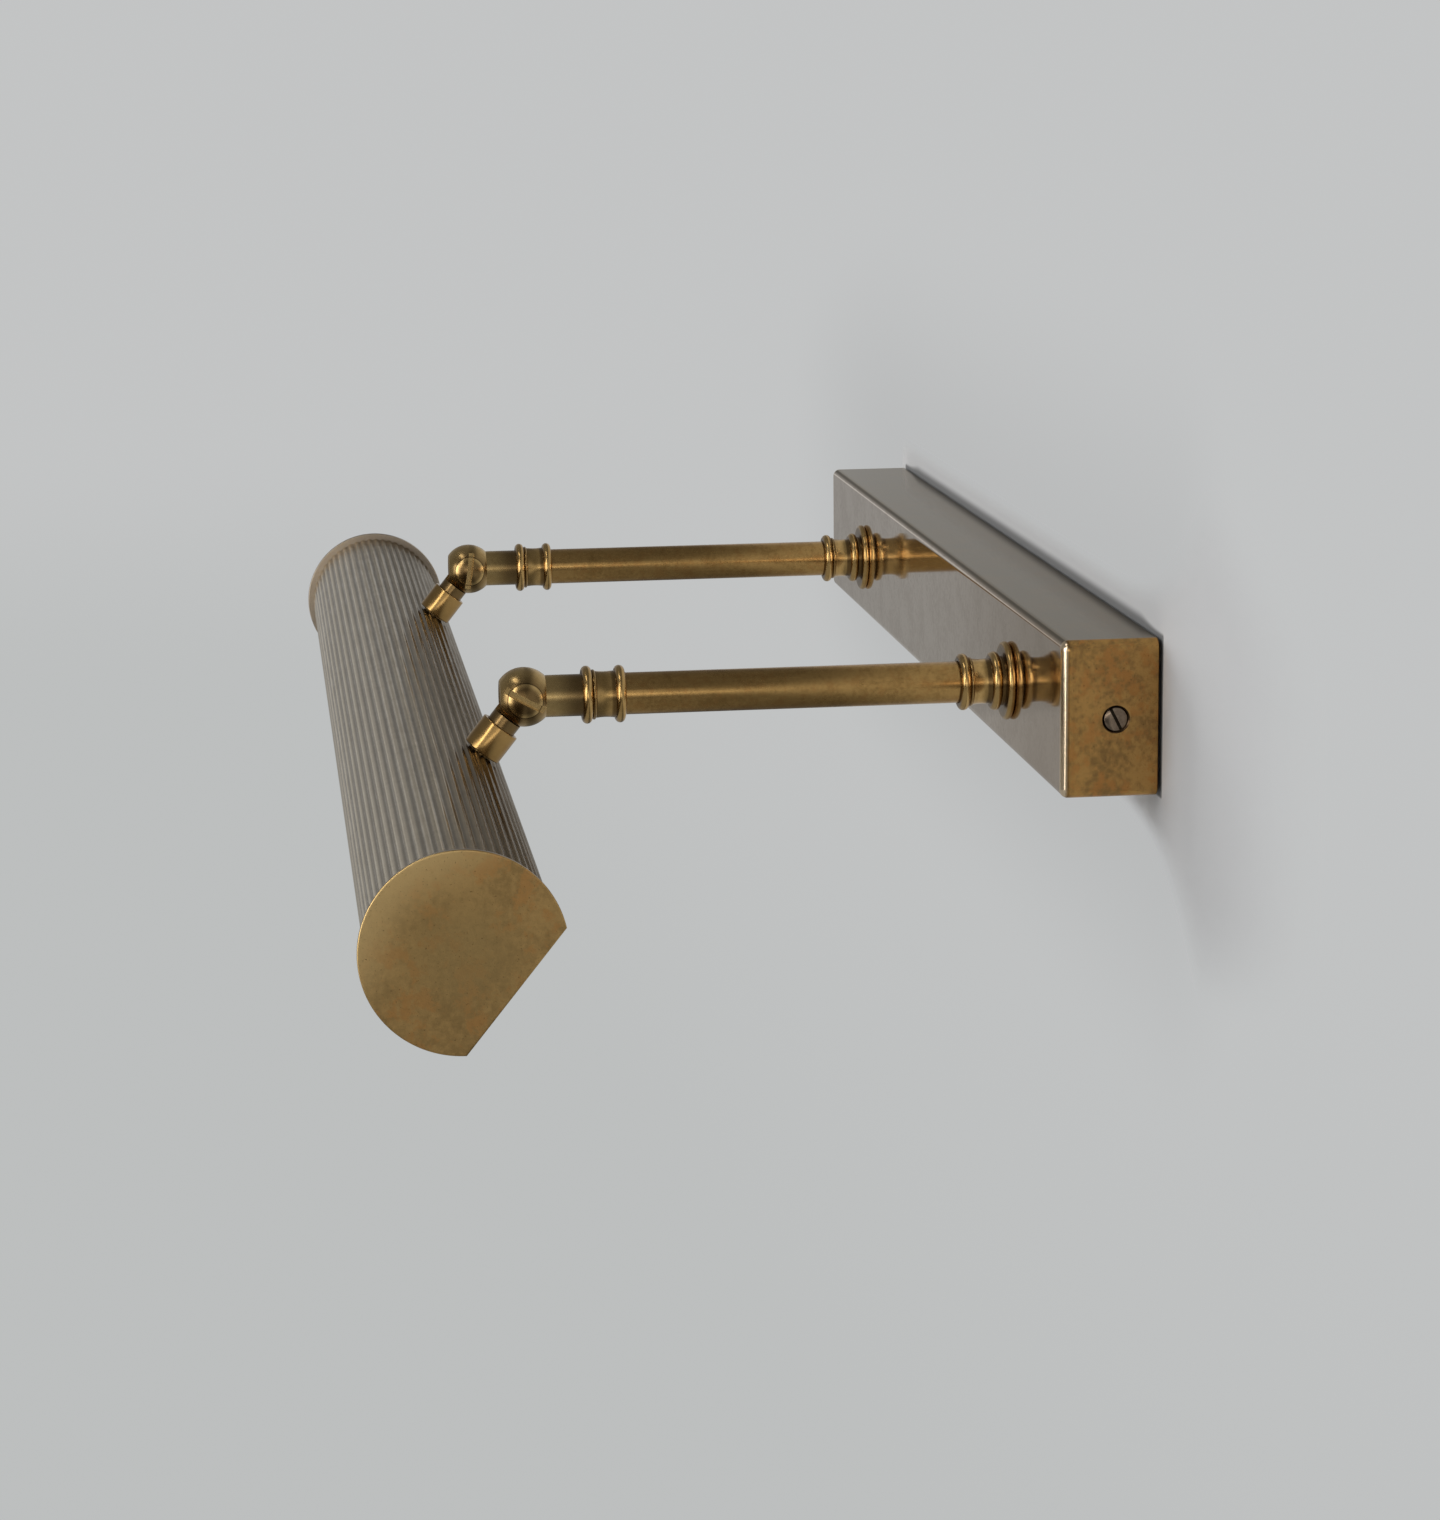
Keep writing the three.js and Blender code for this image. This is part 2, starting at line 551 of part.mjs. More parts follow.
// Collar on the wall box: flange, bead, cove, fillet and bead, bored for nipple and tube
function wallCollar(name) {
  const nippleBore = NIPPLE_RADIUS + SEAT_GAP;
  const beadEnd = WALL_BEAD_AT + BEAD_HALF_WIDTH;
  const outerStart = OUTER_BEAD_AT - BEAD_HALF_WIDTH;
  const filletAt = outerStart - FILLET_HALF_WIDTH;
  const coveEnd = filletAt - FILLET_HALF_WIDTH;
  const profile = [
    [nippleBore, 0],
    [FLANGE_RADIUS - FLANGE_HALF_WIDTH, 0],
    ...bead(FLANGE_HALF_WIDTH, FLANGE_RADIUS, FLANGE_HALF_WIDTH),
    [FILLET_RADIUS, 2 * FLANGE_HALF_WIDTH],
    [FILLET_RADIUS, WALL_BEAD_AT - BEAD_HALF_WIDTH],
    ...bead(WALL_BEAD_AT, WALL_BEAD_RADIUS, BEAD_HALF_WIDTH),
    ...cove(beadEnd, coveEnd, FILLET_NECK_RADIUS, WALL_COVE_RADIUS),
    ...bead(filletAt, FILLET_RADIUS, FILLET_HALF_WIDTH, FILLET_STEPS),
    ...bead(OUTER_BEAD_AT, OUTER_BEAD_RADIUS, BEAD_HALF_WIDTH),
    [TUBE_BORE, COLLAR_LENGTH],
    [TUBE_BORE, TUBE_START - SEAT_GAP],
    [NIPPLE_BORE_RADIUS, TUBE_START - SEAT_GAP],
    [NIPPLE_BORE_RADIUS, NIPPLE_IN_COLLAR + SEAT_GAP],
    [nippleBore, NIPPLE_IN_COLLAR + SEAT_GAP],
  ];
  return piece(name, turned(withoutRepeats(profile)), 'agedBrass');
}

function withoutRepeats(profile) {
  return profile.filter(([r, s], i) => {
    const [before, at] = profile[(i + profile.length - 1) % profile.length];
    return Math.hypot(r - before, s - at) > WELD;
  });
}

function armTube(name) {
  const bore = TUBE_RADIUS - TUBE_WALL;
  return piece(name, turned(ring(bore, TUBE_RADIUS, TUBE_START, TUBE_END)), 'agedBrass');
}

// Collar by the knuckle, drawn from the ball back towards the wall
function knuckleCollar(name) {
  const nearEnd = NEAR_BEAD_AT + BEAD_HALF_WIDTH;
  const filletAt = nearEnd + FILLET_HALF_WIDTH;
  const coveStart = filletAt + FILLET_HALF_WIDTH;
  const coveEnd = FAR_BEAD_AT - BEAD_HALF_WIDTH;
  const spigotBore = SPIGOT_RADIUS + SEAT_GAP;
  const spigotStop = KNUCKLE_COLLAR_START + SPIGOT_LENGTH + SEAT_GAP;
  const tubeStop = KNUCKLE_COLLAR_END - TUBE_SEAT - SEAT_GAP;
  const profile = [
    [spigotBore, KNUCKLE_COLLAR_START],
    ...bead(NEAR_BEAD_AT, NEAR_BEAD_RADIUS, BEAD_HALF_WIDTH),
    ...bead(filletAt, FILLET_RADIUS, FILLET_HALF_WIDTH, FILLET_STEPS),
    ...cove(coveStart, coveEnd, FILLET_NECK_RADIUS, KNUCKLE_COVE_RADIUS),
    ...bead(FAR_BEAD_AT, FAR_BEAD_RADIUS, BEAD_HALF_WIDTH),
    [TUBE_BORE, KNUCKLE_COLLAR_END],
    [TUBE_BORE, tubeStop],
    [WIRE_BORE_RADIUS, tubeStop],
    [WIRE_BORE_RADIUS, spigotStop],
    [spigotBore, spigotStop],
  ];
  const fromFace = withoutRepeats(profile).map(([r, fromBall]) => [r, ARM_REACH - fromBall]);
  return piece(name, turned(fromFace), 'agedBrass');
}

// Room inside a half ball for the wires, with a boss left round the clamp screw
function wireChamber(side) {
  const face = SEAT_GAP / 2;
  const profile = ring(CHAMBER_BOSS_RADIUS, CHAMBER_RADIUS, face - OVERRUN, face + CHAMBER_DEPTH);
  const chamber = turnedAlongX(profile, SMALL_STEPS);
  return mirroredTo(side, chamber);
}

// The ball with everything on the far side of the parting face cleared away
function otherHalf(side) {
  const face = SEAT_GAP / 2;
  const reach = BALL_RADIUS + OVERRUN;
  const beyond = block([-reach, -reach, -reach], [face, reach, reach]);
  return mirroredTo(side, ball(BALL_RADIUS + SEAT_GAP).intersect(beyond));
}

// What lies in front of the flat at the room side of the ball
function beforeFlat() {
  const reach = BALL_RADIUS + OVERRUN;
  return block([-reach, -reach, -reach], [reach, -BALL_FLAT_AT, reach]);
}

function clampSlot(side) {
  const reach = BALL_RADIUS + OVERRUN;
  const half = CLAMP_SLOT_WIDTH / 2;
  const slot = block([CLAMP_SLOT_FLOOR, -reach, -half], [reach, reach, half]);
  return moved(slot, new THREE.Matrix4().makeRotationX(CLAMP_SLOT_ANGLES[side]));
}

// Arm side of the knuckle: half ball, neck and the spigot that fits the collar
function armKnuckle(name, side) {
  const neckEnd = KNUCKLE_COLLAR_START - SEAT_GAP;
  const spigotEnd = KNUCKLE_COLLAR_START + SPIGOT_LENGTH;
  const neck = turned(withoutRepeats([
    [0, -spigotEnd], [SPIGOT_RADIUS, -spigotEnd], [SPIGOT_RADIUS, -neckEnd],
    [TUBE_RADIUS, -neckEnd], [TUBE_RADIUS, 0], [0, 0],
  ]));
  const reach = BALL_RADIUS + OVERRUN;
  const headBore = rodAlongX(CLAMP_HEAD_RADIUS + SEAT_GAP / 2, CLAMP_HEAD_SEAT - SEAT_GAP / 2, reach);
  const shankBore = rodAlongX(CLAMP_SHANK_RADIUS + SEAT_GAP, -reach, reach);
  const wireBore = rod(WIRE_BORE_RADIUS, -spigotEnd - OVERRUN, -CHAMBER_BOSS_RADIUS - SEAT_GAP);
  const half = ball(BALL_RADIUS).add(neck).subtract(otherHalf(1)).subtract(beforeFlat())
    .subtract(headBore).subtract(shankBore).subtract(wireChamber(1)).subtract(wireBore)
    .subtract(clampSlot(side));
  return piece(name, half, 'agedBrass');
}

// Clamp screw: its domed head completes the ball, and one long slot crosses both
function clampScrew(name, side) {
  const reach = BALL_RADIUS + OVERRUN;
  const head = rodAlongX(CLAMP_HEAD_RADIUS, CLAMP_HEAD_SEAT, reach).intersect(ball(BALL_RADIUS));
  const shank = rodAlongX(CLAMP_SHANK_RADIUS, -CLAMP_SHANK_END, CLAMP_HEAD_SEAT + OVERRUN);
  return piece(name, head.add(shank).subtract(clampSlot(side)), 'agedBrass');
}

// Shade side of the knuckle: half ball, whose flat is in line with the arm's at rest, neck, and the
// threaded tail through the shade
function stubKnuckle(name) {
  const stem = turned([
    [0, 0], [STUB_RADIUS, 0], [STUB_RADIUS, TAIL_SHOULDER], [TAIL_RADIUS, TAIL_SHOULDER],
    [TAIL_RADIUS, TAIL_END], [0, TAIL_END],
  ]);
  const screwBore = rodAlongX(CLAMP_SHANK_RADIUS + SEAT_GAP, -CLAMP_SHANK_END - SEAT_GAP, OVERRUN);
  const wireBore = rod(WIRE_BORE_RADIUS, CHAMBER_BOSS_RADIUS + SEAT_GAP, TAIL_END + OVERRUN);
  const front = moved(beforeFlat(), new THREE.Matrix4().makeRotationX(-SHADE_BEND));
  const half = ball(BALL_RADIUS).subtract(front).add(stem).subtract(otherHalf(-1))
    .subtract(screwBore).subtract(wireChamber(-1)).subtract(wireBore);
  return piece(name, half, 'agedBrass');
}

function ferrule(name) {
  const end = SHADE_TOP - SEAT_GAP;
  const inner = FERRULE_RADIUS - FERRULE_EDGE;
  const neckBore = STUB_RADIUS + SEAT_GAP;
  const tailBore = TAIL_RADIUS + SEAT_GAP;
  const shoulder = TAIL_SHOULDER + SEAT_GAP;
  return piece(name, turned([
    [neckBore, FERRULE_START], [inner, FERRULE_START],
    [FERRULE_RADIUS, FERRULE_START + FERRULE_EDGE], [FERRULE_RADIUS, end - FERRULE_EDGE],
    [inner, end], [tailBore, end], [tailBore, shoulder], [neckBore, shoulder],
  ]), 'polishedBrass');
}

function shadeNut(name) {
  const outline = hexagon(SHADE_NUT_FLATS, TAIL_RADIUS + SEAT_GAP);
  const end = SHADE_NUT_AT + SHADE_NUT_THICKNESS;
  return piece(name, outward(outline, SHADE_NUT_AT, end, NUT_BORE), 'plainBrass');
}

// Section outlines of the shade are drawn in (Y, Z) round the shade's axis, angles from the crown
function onCircle(radius, angle) {
  return [-SHADE_DROP + radius * Math.sin(angle), radius * Math.cos(angle)];
}

function mouthAngle(radius, fromAxis) {
  return Math.PI - Math.acos(fromAxis / radius);
}

// Reeded outline: each reed is one wave that rises from the groove circle and falls back to it
function reededPoints() {
  const sweep = mouthAngle(SHADE_RADIUS, MOUTH_FROM_AXIS);
  const points = [];
  for (let reed = 0; reed < REED_COUNT; reed += 1) {
    for (const share of REED_STEP_SHARES) {
      const angle = -sweep + (2 * sweep * (reed + share)) / REED_COUNT;
      const rise = (REED_DEPTH * (1 - Math.cos(2 * Math.PI * share))) / 2;
      points.push(onCircle(GROOVE_RADIUS + rise, angle));
    }
  }
  points.push(onCircle(GROOVE_RADIUS, sweep));
  return points;
}

function arcPoints(radius, sweep, steps) {
  return Array.from({ length: steps + 1 }, (_, i) => onCircle(radius, sweep * ((2 * i) / steps - 1)));
}

function band(outside, inside, sweepOutside, sweepInside) {
  const outer = arcPoints(outside, sweepOutside, TRAY_STEPS);
  const inner = arcPoints(inside, sweepInside, TRAY_STEPS).reverse();
  return outlineOf([...outer, ...inner]);
}

function shadeTube() {
  const inner = arcPoints(SHADE_INSIDE, mouthAngle(SHADE_INSIDE, MOUTH_FROM_AXIS), TRAY_STEPS).reverse();
  let tube = alongX(outlineOf([...reededPoints(), ...inner]), -SHADE_END, SHADE_END);
  for (const side of [-1, 1]) {
    const hole = rod(TAIL_RADIUS + SEAT_GAP, 0, SHADE_DROP);
    tube = tube.subtract(shifted(hole, side * ARM_X, 0, 0));
  }
  return piece('shade_tube', tube, 'agedBrass');
}

// End cap: a flat disc cut straight along the mouth, with a rim that fits inside the tube
function endCap(name, side) {
  const sweep = mouthAngle(CAP_RADIUS, CAP_MOUTH_FROM_AXIS);
  const edge = {
    bevelEnabled: true,
    bevelSize: CAP_EDGE,
    bevelThickness: CAP_EDGE,
    bevelOffset: -CAP_EDGE,
    bevelSegments: 1,
  };
  const face = outlineOf(arcPoints(CAP_RADIUS, sweep, CAP_STEPS));
  const plate = alongX(face, CAP_INSIDE + CAP_EDGE, SHADE_LENGTH / 2 - CAP_EDGE, edge);
  const rimOutside = SHADE_INSIDE - SEAT_GAP;
  const rimInside = rimOutside - CAP_RIM_WALL;
  const rimOutline = band(
    rimOutside, rimInside,
    mouthAngle(rimOutside, MOUTH_FROM_AXIS), mouthAngle(rimInside, MOUTH_FROM_AXIS));
  const rim = alongX(rimOutline, CAP_INSIDE - CAP_RIM_DEPTH, CAP_INSIDE + CAP_THICKNESS / 2);
  return piece(name, moved(plate.add(rim), mirrorX(side)), 'agedBrass');
}

// The shade's two ends are mirror images of each other
function mirrorX(side) {
  return new THREE.Matrix4().makeScale(side, 1, 1);
}

// Reflector: a thin tray round the crown of the shade, held under the two shade nuts
function reflector() {
  const outline = band(
    REFLECTOR_OUTSIDE, REFLECTOR_INSIDE, REFLECTOR_HALF_SWEEP, REFLECTOR_HALF_SWEEP);
  let tray = alongX(outline, -REFLECTOR_END, REFLECTOR_END);
  for (const side of [-1, 1]) {
    const hole = rod(TAIL_RADIUS + SEAT_GAP, 0, SHADE_DROP);
    tray = tray.subtract(shifted(hole, side * ARM_X, 0, 0));
  }
  return piece('reflector', tray, 'whiteEnamel');
}

// Lamp holder bracket: a foot under the crown of the reflector and a leg across its end
function holderBracket(name, side) {
  const top = flatInside(REFLECTOR_INSIDE, HOLDER_BRACKET_WIDTH / 2) - SEAT_GAP;
  const outline = outlineOf([
    [HOLDER_SEAT + HOLDER_BRACKET_THICKNESS, top],
    [HOLDER_SEAT - HOLDER_BRACKET_FOOT, top],
    [HOLDER_SEAT - HOLDER_BRACKET_FOOT, top - HOLDER_BRACKET_THICKNESS],
    [HOLDER_SEAT, top - HOLDER_BRACKET_THICKNESS],
    [HOLDER_SEAT, top - HOLDER_BRACKET_DROP],
    [HOLDER_SEAT + HOLDER_BRACKET_THICKNESS, top - HOLDER_BRACKET_DROP],
  ]);
  const low = SHADE_DROP - HOLDER_BRACKET_WIDTH / 2;
  const strip = outward(outline, low, low + HOLDER_BRACKET_WIDTH);
  const past = HOLDER_SEAT + HOLDER_BRACKET_THICKNESS + OVERRUN;
  const hole = rodAlongX(HOLDER_NIPPLE_RADIUS + SEAT_GAP, HOLDER_SEAT - OVERRUN, past);
  const drilled = strip.subtract(shifted(hole, 0, -SHADE_DROP, LAMP_LIFT));
  return piece(name, moved(drilled, mirrorX(side)), 'zincSteel');
}

// Lamp holder: a cup with a raised mouth ring and a threaded nose through the bracket
function lampHolder(name, side) {
  const seat = HOLDER_SEAT - SEAT_GAP;
  const mouth = LAMP_CAP_START;
  const bore = LAMP_CAP_RADIUS + SEAT_GAP;
  const ringRadius = HOLDER_RADIUS + HOLDER_RING_STEP;
  const nose = HOLDER_SEAT + HOLDER_BRACKET_THICKNESS + OVERRUN;
  const cup = turnedAlongX([
    [bore, mouth], [ringRadius, mouth], [ringRadius, mouth + HOLDER_RING_WIDTH],
    [HOLDER_RADIUS, mouth + HOLDER_RING_WIDTH], [HOLDER_RADIUS, seat],
    [HOLDER_NIPPLE_RADIUS, seat], [HOLDER_NIPPLE_RADIUS, nose],
    [HOLDER_SCREW_RADIUS, nose], [HOLDER_SCREW_RADIUS, seat - HOLDER_FLOOR],
    [bore, seat - HOLDER_FLOOR],
  ], LAMP_STEPS);
  return piece(name, moved(shifted(cup, 0, -SHADE_DROP, LAMP_LIFT), mirrorX(side)), 'porcelain');
}

// Screw cap of a lamp: a thin cup with a centre contact
function lampCap(name, side) {
  const inside = LAMP_CAP_RADIUS - LAMP_CAP_WALL;
  const taper = LAMP_CAP_RADIUS - LAMP_CONTACT_RADIUS;
  const cap = turnedAlongX([
    [0, LAMP_CAP_END - taper], [inside, LAMP_CAP_END - taper], [inside, LAMP_CAP_START],
    [LAMP_CAP_RADIUS, LAMP_CAP_START], [LAMP_CAP_RADIUS, LAMP_CAP_END - taper / 2],
    [LAMP_CONTACT_RADIUS, LAMP_CAP_END], [LAMP_CONTACT_RADIUS, LAMP_CAP_END + LAMP_CONTACT_HEIGHT],
    [0, LAMP_CAP_END + LAMP_CONTACT_HEIGHT],
  ], LAMP_STEPS);
  return piece(name, moved(shifted(cap, 0, -SHADE_DROP, LAMP_LIFT), mirrorX(side)), 'plainBrass');
}

// Lamp glass: a thin tube with a round tip, necked down into its cap and open there
function lampGlass(name, side) {
  const neckEnd = LAMP_CAP_START - SEAT_GAP;
  const tubeStart = neckEnd - LAMP_SHOULDER;
  const tip = neckEnd - LAMP_GLASS_LENGTH;
  const wall = LAMP_GLASS_WALL;
  const roundTip = (radius) => Array.from({ length: ARC_STEPS + 1 }, (_, i) => {
    const angle = (Math.PI / 2) * (i / ARC_STEPS);
    return [radius * Math.cos(angle), tip + LAMP_RADIUS - radius * Math.sin(angle)];
  });
  const outer = [[LAMP_NECK_RADIUS, LAMP_GLASS_START], [LAMP_NECK_RADIUS, neckEnd], [LAMP_RADIUS, tubeStart]];
  const inner = outer.map(([r, s]) => [r - wall, s]).reverse();
  const profile = [...outer, ...roundTip(LAMP_RADIUS), ...roundTip(LAMP_RADIUS - wall).reverse(), ...inner];
  const glass = turnedAlongX(profile, LAMP_STEPS);
  return piece(name, moved(shifted(glass, 0, -SHADE_DROP, LAMP_LIFT), mirrorX(side)), 'opalGlass');
}

// Wall box with its bracket, wiring and cover fixings
function wallBox() {
  const group = new THREE.Group();
  group.add(boxCover(), wallBracket(), cableGrommet(), terminalBlock(), earthScrew());
  for (const [word, side] of [['left', -1], ['right', 1]]) {
    group.add(coverScrew(`cover_screw_${word}`, side), coverNut(`cover_nut_${word}`, side));
  }
  return group;
}

// One arm, drawn out from the front face of the wall box
function arm(word, side) {
  const group = new THREE.Group();
  group.position.set(side * ARM_X, FRONT_FACE, ARM_Z);
  group.add(
    nipple(`nipple_${word}`), lockWasher(`lock_washer_${word}`), lockNut(`lock_nut_${word}`),
    wallCollar(`wall_collar_${word}`), armTube(`arm_tube_${word}`), knuckleCollar(`knuckle_collar_${word}`));
  const knuckle = new THREE.Group();
  knuckle.position.y = -ARM_REACH;
  knuckle.add(armKnuckle(`arm_knuckle_${word}`, word), clampScrew(`clamp_screw_${word}`, word));
  group.add(knuckle);
  return group;
}

// Everything that tilts, drawn straight out from the pivot with the mouth down, then bent
function shade() {
  const group = new THREE.Group();
  group.position.set(0, FRONT_FACE - ARM_REACH, ARM_Z);
  group.rotation.x = SHADE_BEND;
  group.add(shadeTube(), reflector());
  for (const [word, side] of [['left', -1], ['right', 1]]) {
    const entry = new THREE.Group();
    entry.position.x = side * ARM_X;
    entry.add(stubKnuckle(`stub_knuckle_${word}`), ferrule(`ferrule_${word}`), shadeNut(`shade_nut_${word}`));
    group.add(
      entry, endCap(`end_cap_${word}`, side), holderBracket(`holder_bracket_${word}`, side),
      lampHolder(`lamp_holder_${word}`, side), lampCap(`lamp_cap_${word}`, side), lampGlass(`lamp_glass_${word}`, side));
  }
  return group;
}

const pictureLight = new THREE.Group();
pictureLight.add(wallBox(), arm('left', -1), arm('right', 1), shade());

export default pictureLight;
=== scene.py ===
"""Picture light: fine surfaces, finishes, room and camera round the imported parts.

Metres, +Z up. The origin is the middle of the wall face, +X runs along the light and the
light reaches out from the wall towards -Y.
"""
import json
import logging
import math
from dataclasses import dataclass
from enum import Enum

import bmesh
import bpy
import numpy as np
from mathutils import Matrix, Vector
from numpy.typing import NDArray


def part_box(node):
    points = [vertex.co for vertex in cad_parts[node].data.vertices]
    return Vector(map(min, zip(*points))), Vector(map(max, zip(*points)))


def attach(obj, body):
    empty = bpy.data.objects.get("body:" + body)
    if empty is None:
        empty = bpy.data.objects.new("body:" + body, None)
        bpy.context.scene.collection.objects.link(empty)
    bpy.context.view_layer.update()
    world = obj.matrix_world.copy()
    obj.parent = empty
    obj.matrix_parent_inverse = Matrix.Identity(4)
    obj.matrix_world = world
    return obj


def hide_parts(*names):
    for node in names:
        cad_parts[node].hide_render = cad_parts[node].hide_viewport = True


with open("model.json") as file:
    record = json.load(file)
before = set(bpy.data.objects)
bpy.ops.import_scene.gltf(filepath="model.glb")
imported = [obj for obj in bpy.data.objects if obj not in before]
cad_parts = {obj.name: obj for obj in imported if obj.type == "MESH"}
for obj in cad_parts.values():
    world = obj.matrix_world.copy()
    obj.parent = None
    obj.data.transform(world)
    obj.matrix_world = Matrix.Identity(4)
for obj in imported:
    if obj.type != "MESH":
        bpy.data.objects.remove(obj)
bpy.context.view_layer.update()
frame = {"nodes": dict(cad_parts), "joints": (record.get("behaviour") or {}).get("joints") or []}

Points = NDArray[np.float64]
Colour = tuple[float, float, float]
Triple = tuple[float, float, float]
Span = tuple[float, float]
Material = bpy.types.Material
Node = bpy.types.Node
Piece = bpy.types.Object
Socket = bpy.types.NodeSocket
Source = Socket | Triple | float

MM = 0.001
WELD = 1e-7
SAME_PLACE = 1e-6
EDGE_EASE = 0.15 * MM
EASE_POINTS = 5
EASE_SHARE = 2 / 5
EASED_DEGREES = 25.0
SHARP_DEGREES = 32.0
BEVEL_DEGREES = 38.0
BEVEL_SEGMENTS = 2
TURN_STEPS = 96
FINE_STEPS = 144
SCREW_STEPS = 64
BEAD_STEPS = 22
COVE_POINTS = 21
BALL_POINTS = 60
HEAD_POINTS = 40
STUB_POINTS = 70
GROOVE = "groove"
GROOVE_REACH = 1.5 * MM
GROOVE_FULL = 1.9 * MM
LIGHT_MIDDLE = (0.0, -0.12, 0.0)
QUARTER = math.pi / 2

MIX_FACTOR, MIX_FIRST, MIX_SECOND, MIX_RESULT = 0, 6, 7, 2
EVEN = (1.0, 1.0, 1.0)
BLACK = (0.0, 0.0, 0.0)
WHITE = (1.0, 1.0, 1.0)

log = logging.getLogger("picture_light")


class Side(Enum):
    """The two ends of the light, as seen from the room."""

    LEFT = -1
    RIGHT = 1

    @property
    def word(self) -> str:
        """The end's word in the names of its pieces."""
        return self.name.lower()


class Body(Enum):
    """The two bodies that the joint parts."""

    WALL_UNIT = "wall_unit"
    SHADE = "shade"


class Cut(Enum):
    """What a cutting tool does to a piece."""

    JOIN = "UNION"
    TAKE = "DIFFERENCE"


class Sum(Enum):
    """The sums that a finish does with numbers and vectors."""

    PLUS = "ADD"
    MINUS = "SUBTRACT"
    TIMES = "MULTIPLY"
    HIGHEST = "MAXIMUM"
    LOWEST = "MINIMUM"
    SIZE = "ABSOLUTE"
    DOT = "DOT_PRODUCT"
    LENGTH = "LENGTH"


@dataclass(frozen=True)
class Seat:
    """A place to build on: an origin, the way a piece grows and the way beside it."""

    origin: Triple
    along: Triple
    beside: Triple

    def put(self, beside: Points, along: Points, third: Points) -> Points:
        """Turns distances in the seat's three directions into points.

        A point is the origin plus each distance times its direction. The third direction is
        the cross product of beside and along.

        Args:
            beside: Distances in the direction beside.
            along: Distances in the direction along.
            third: Distances in the third direction.

        Returns:
            An array of points with one more axis than the distances.
        """
        a, b = np.asarray(self.beside), np.asarray(self.along)
        distances = np.broadcast_arrays(beside, along, third)
        moves = (d[..., None] * way for d, way in zip(distances, (a, b, np.cross(a, b))))
        return np.asarray(self.origin) + sum(moves)

    def tilted(self, degrees: float) -> "Seat":
        """The seat with its direction beside turned in the plane of Y and Z, from Y to Z."""
        angle = math.radians(degrees)
        return Seat(self.origin, self.along, (0.0, math.cos(angle), math.sin(angle)))


def woven(rows: int, columns: int, loop_rows: bool, loop_columns: bool) -> NDArray[np.int64]:
    """Lists the four-cornered faces of a grid of points.

    Corner (i, j) has the number i times columns plus j, and each face joins it to its
    neighbours in the next row and column, round to the first one where the grid loops.

    Args:
        rows: Number of rows.
        columns: Number of columns.
        loop_rows: Whether the last row joins the first.
        loop_columns: Whether the last column joins the first.

    Returns:
        One row of four corner numbers for each face.
    """
    i = np.arange(rows if loop_rows else rows - 1)[:, None]
    j = np.arange(columns if loop_columns else columns - 1)[None, :]
    below, right = (i + 1) % rows, (j + 1) % columns
    corner_numbers = np.broadcast_arrays(
        i * columns + j, i * columns + right, below * columns + right, below * columns + j)
    return np.stack(corner_numbers, axis=-1).reshape(-1, 4)


def smooth(piece: Piece, sharp_degrees: float) -> None:
    """Smooths a piece's faces, apart from those that meet at more than an angle."""
    piece.data.shade_smooth()
    piece.data.set_sharp_from_angle(angle=math.radians(sharp_degrees))


def settle(piece: Piece, sharp_degrees: float) -> None:
    """Welds a new piece's seams and poles, turns its faces outwards and smooths them.

    Args:
        piece: The new piece.
        sharp_degrees: Faces that meet at more than this angle keep a crisp edge.
    """
    shape = bmesh.new()
    shape.from_mesh(piece.data)
    bmesh.ops.remove_doubles(shape, verts=shape.verts, dist=WELD)
    bmesh.ops.dissolve_degenerate(shape, edges=shape.edges, dist=WELD)
    bmesh.ops.recalc_face_normals(shape, faces=shape.faces)
    shape.to_mesh(piece.data)
    shape.free()
    smooth(piece, sharp_degrees)


def surface(
    name: str,
    points: Points,
    *,
    loop_rows: bool = False,
    lids: bool = False,
    groove: Points | None = None,
    sharp_degrees: float = SHARP_DEGREES,
) -> Piece:
    """Makes a piece from a grid of points whose columns go all the way round.

    Args:
        name: Name of the piece.
        points: The grid, rows by columns by three.
        loop_rows: Whether the last row joins the first.
        lids: Whether the first and last rows are closed with a flat face each.
        groove: How deep in a groove each point lies, from 0 to 1, for the finish.
        sharp_degrees: Faces that meet at more than this angle keep a crisp edge.

    Returns:
        The new piece, in the scene.
    """
    rows, columns = points.shape[:2]
    faces = woven(rows, columns, loop_rows, True).tolist()
    if lids:
        faces += [list(range(columns)), list(range((rows - 1) * columns, rows * columns))]
    mesh = bpy.data.meshes.new(name)
    mesh.from_pydata(points.reshape(-1, 3).tolist(), [], faces)
    if groove is not None:
        depth = np.broadcast_to(groove, (rows, columns)).astype(np.float32)
        mesh.attributes.new(GROOVE, "FLOAT", "POINT").data.foreach_set("value", depth.ravel())
    piece = bpy.data.objects.new(name, mesh)
    bpy.context.scene.collection.objects.link(piece)
    settle(piece, sharp_degrees)
    return piece


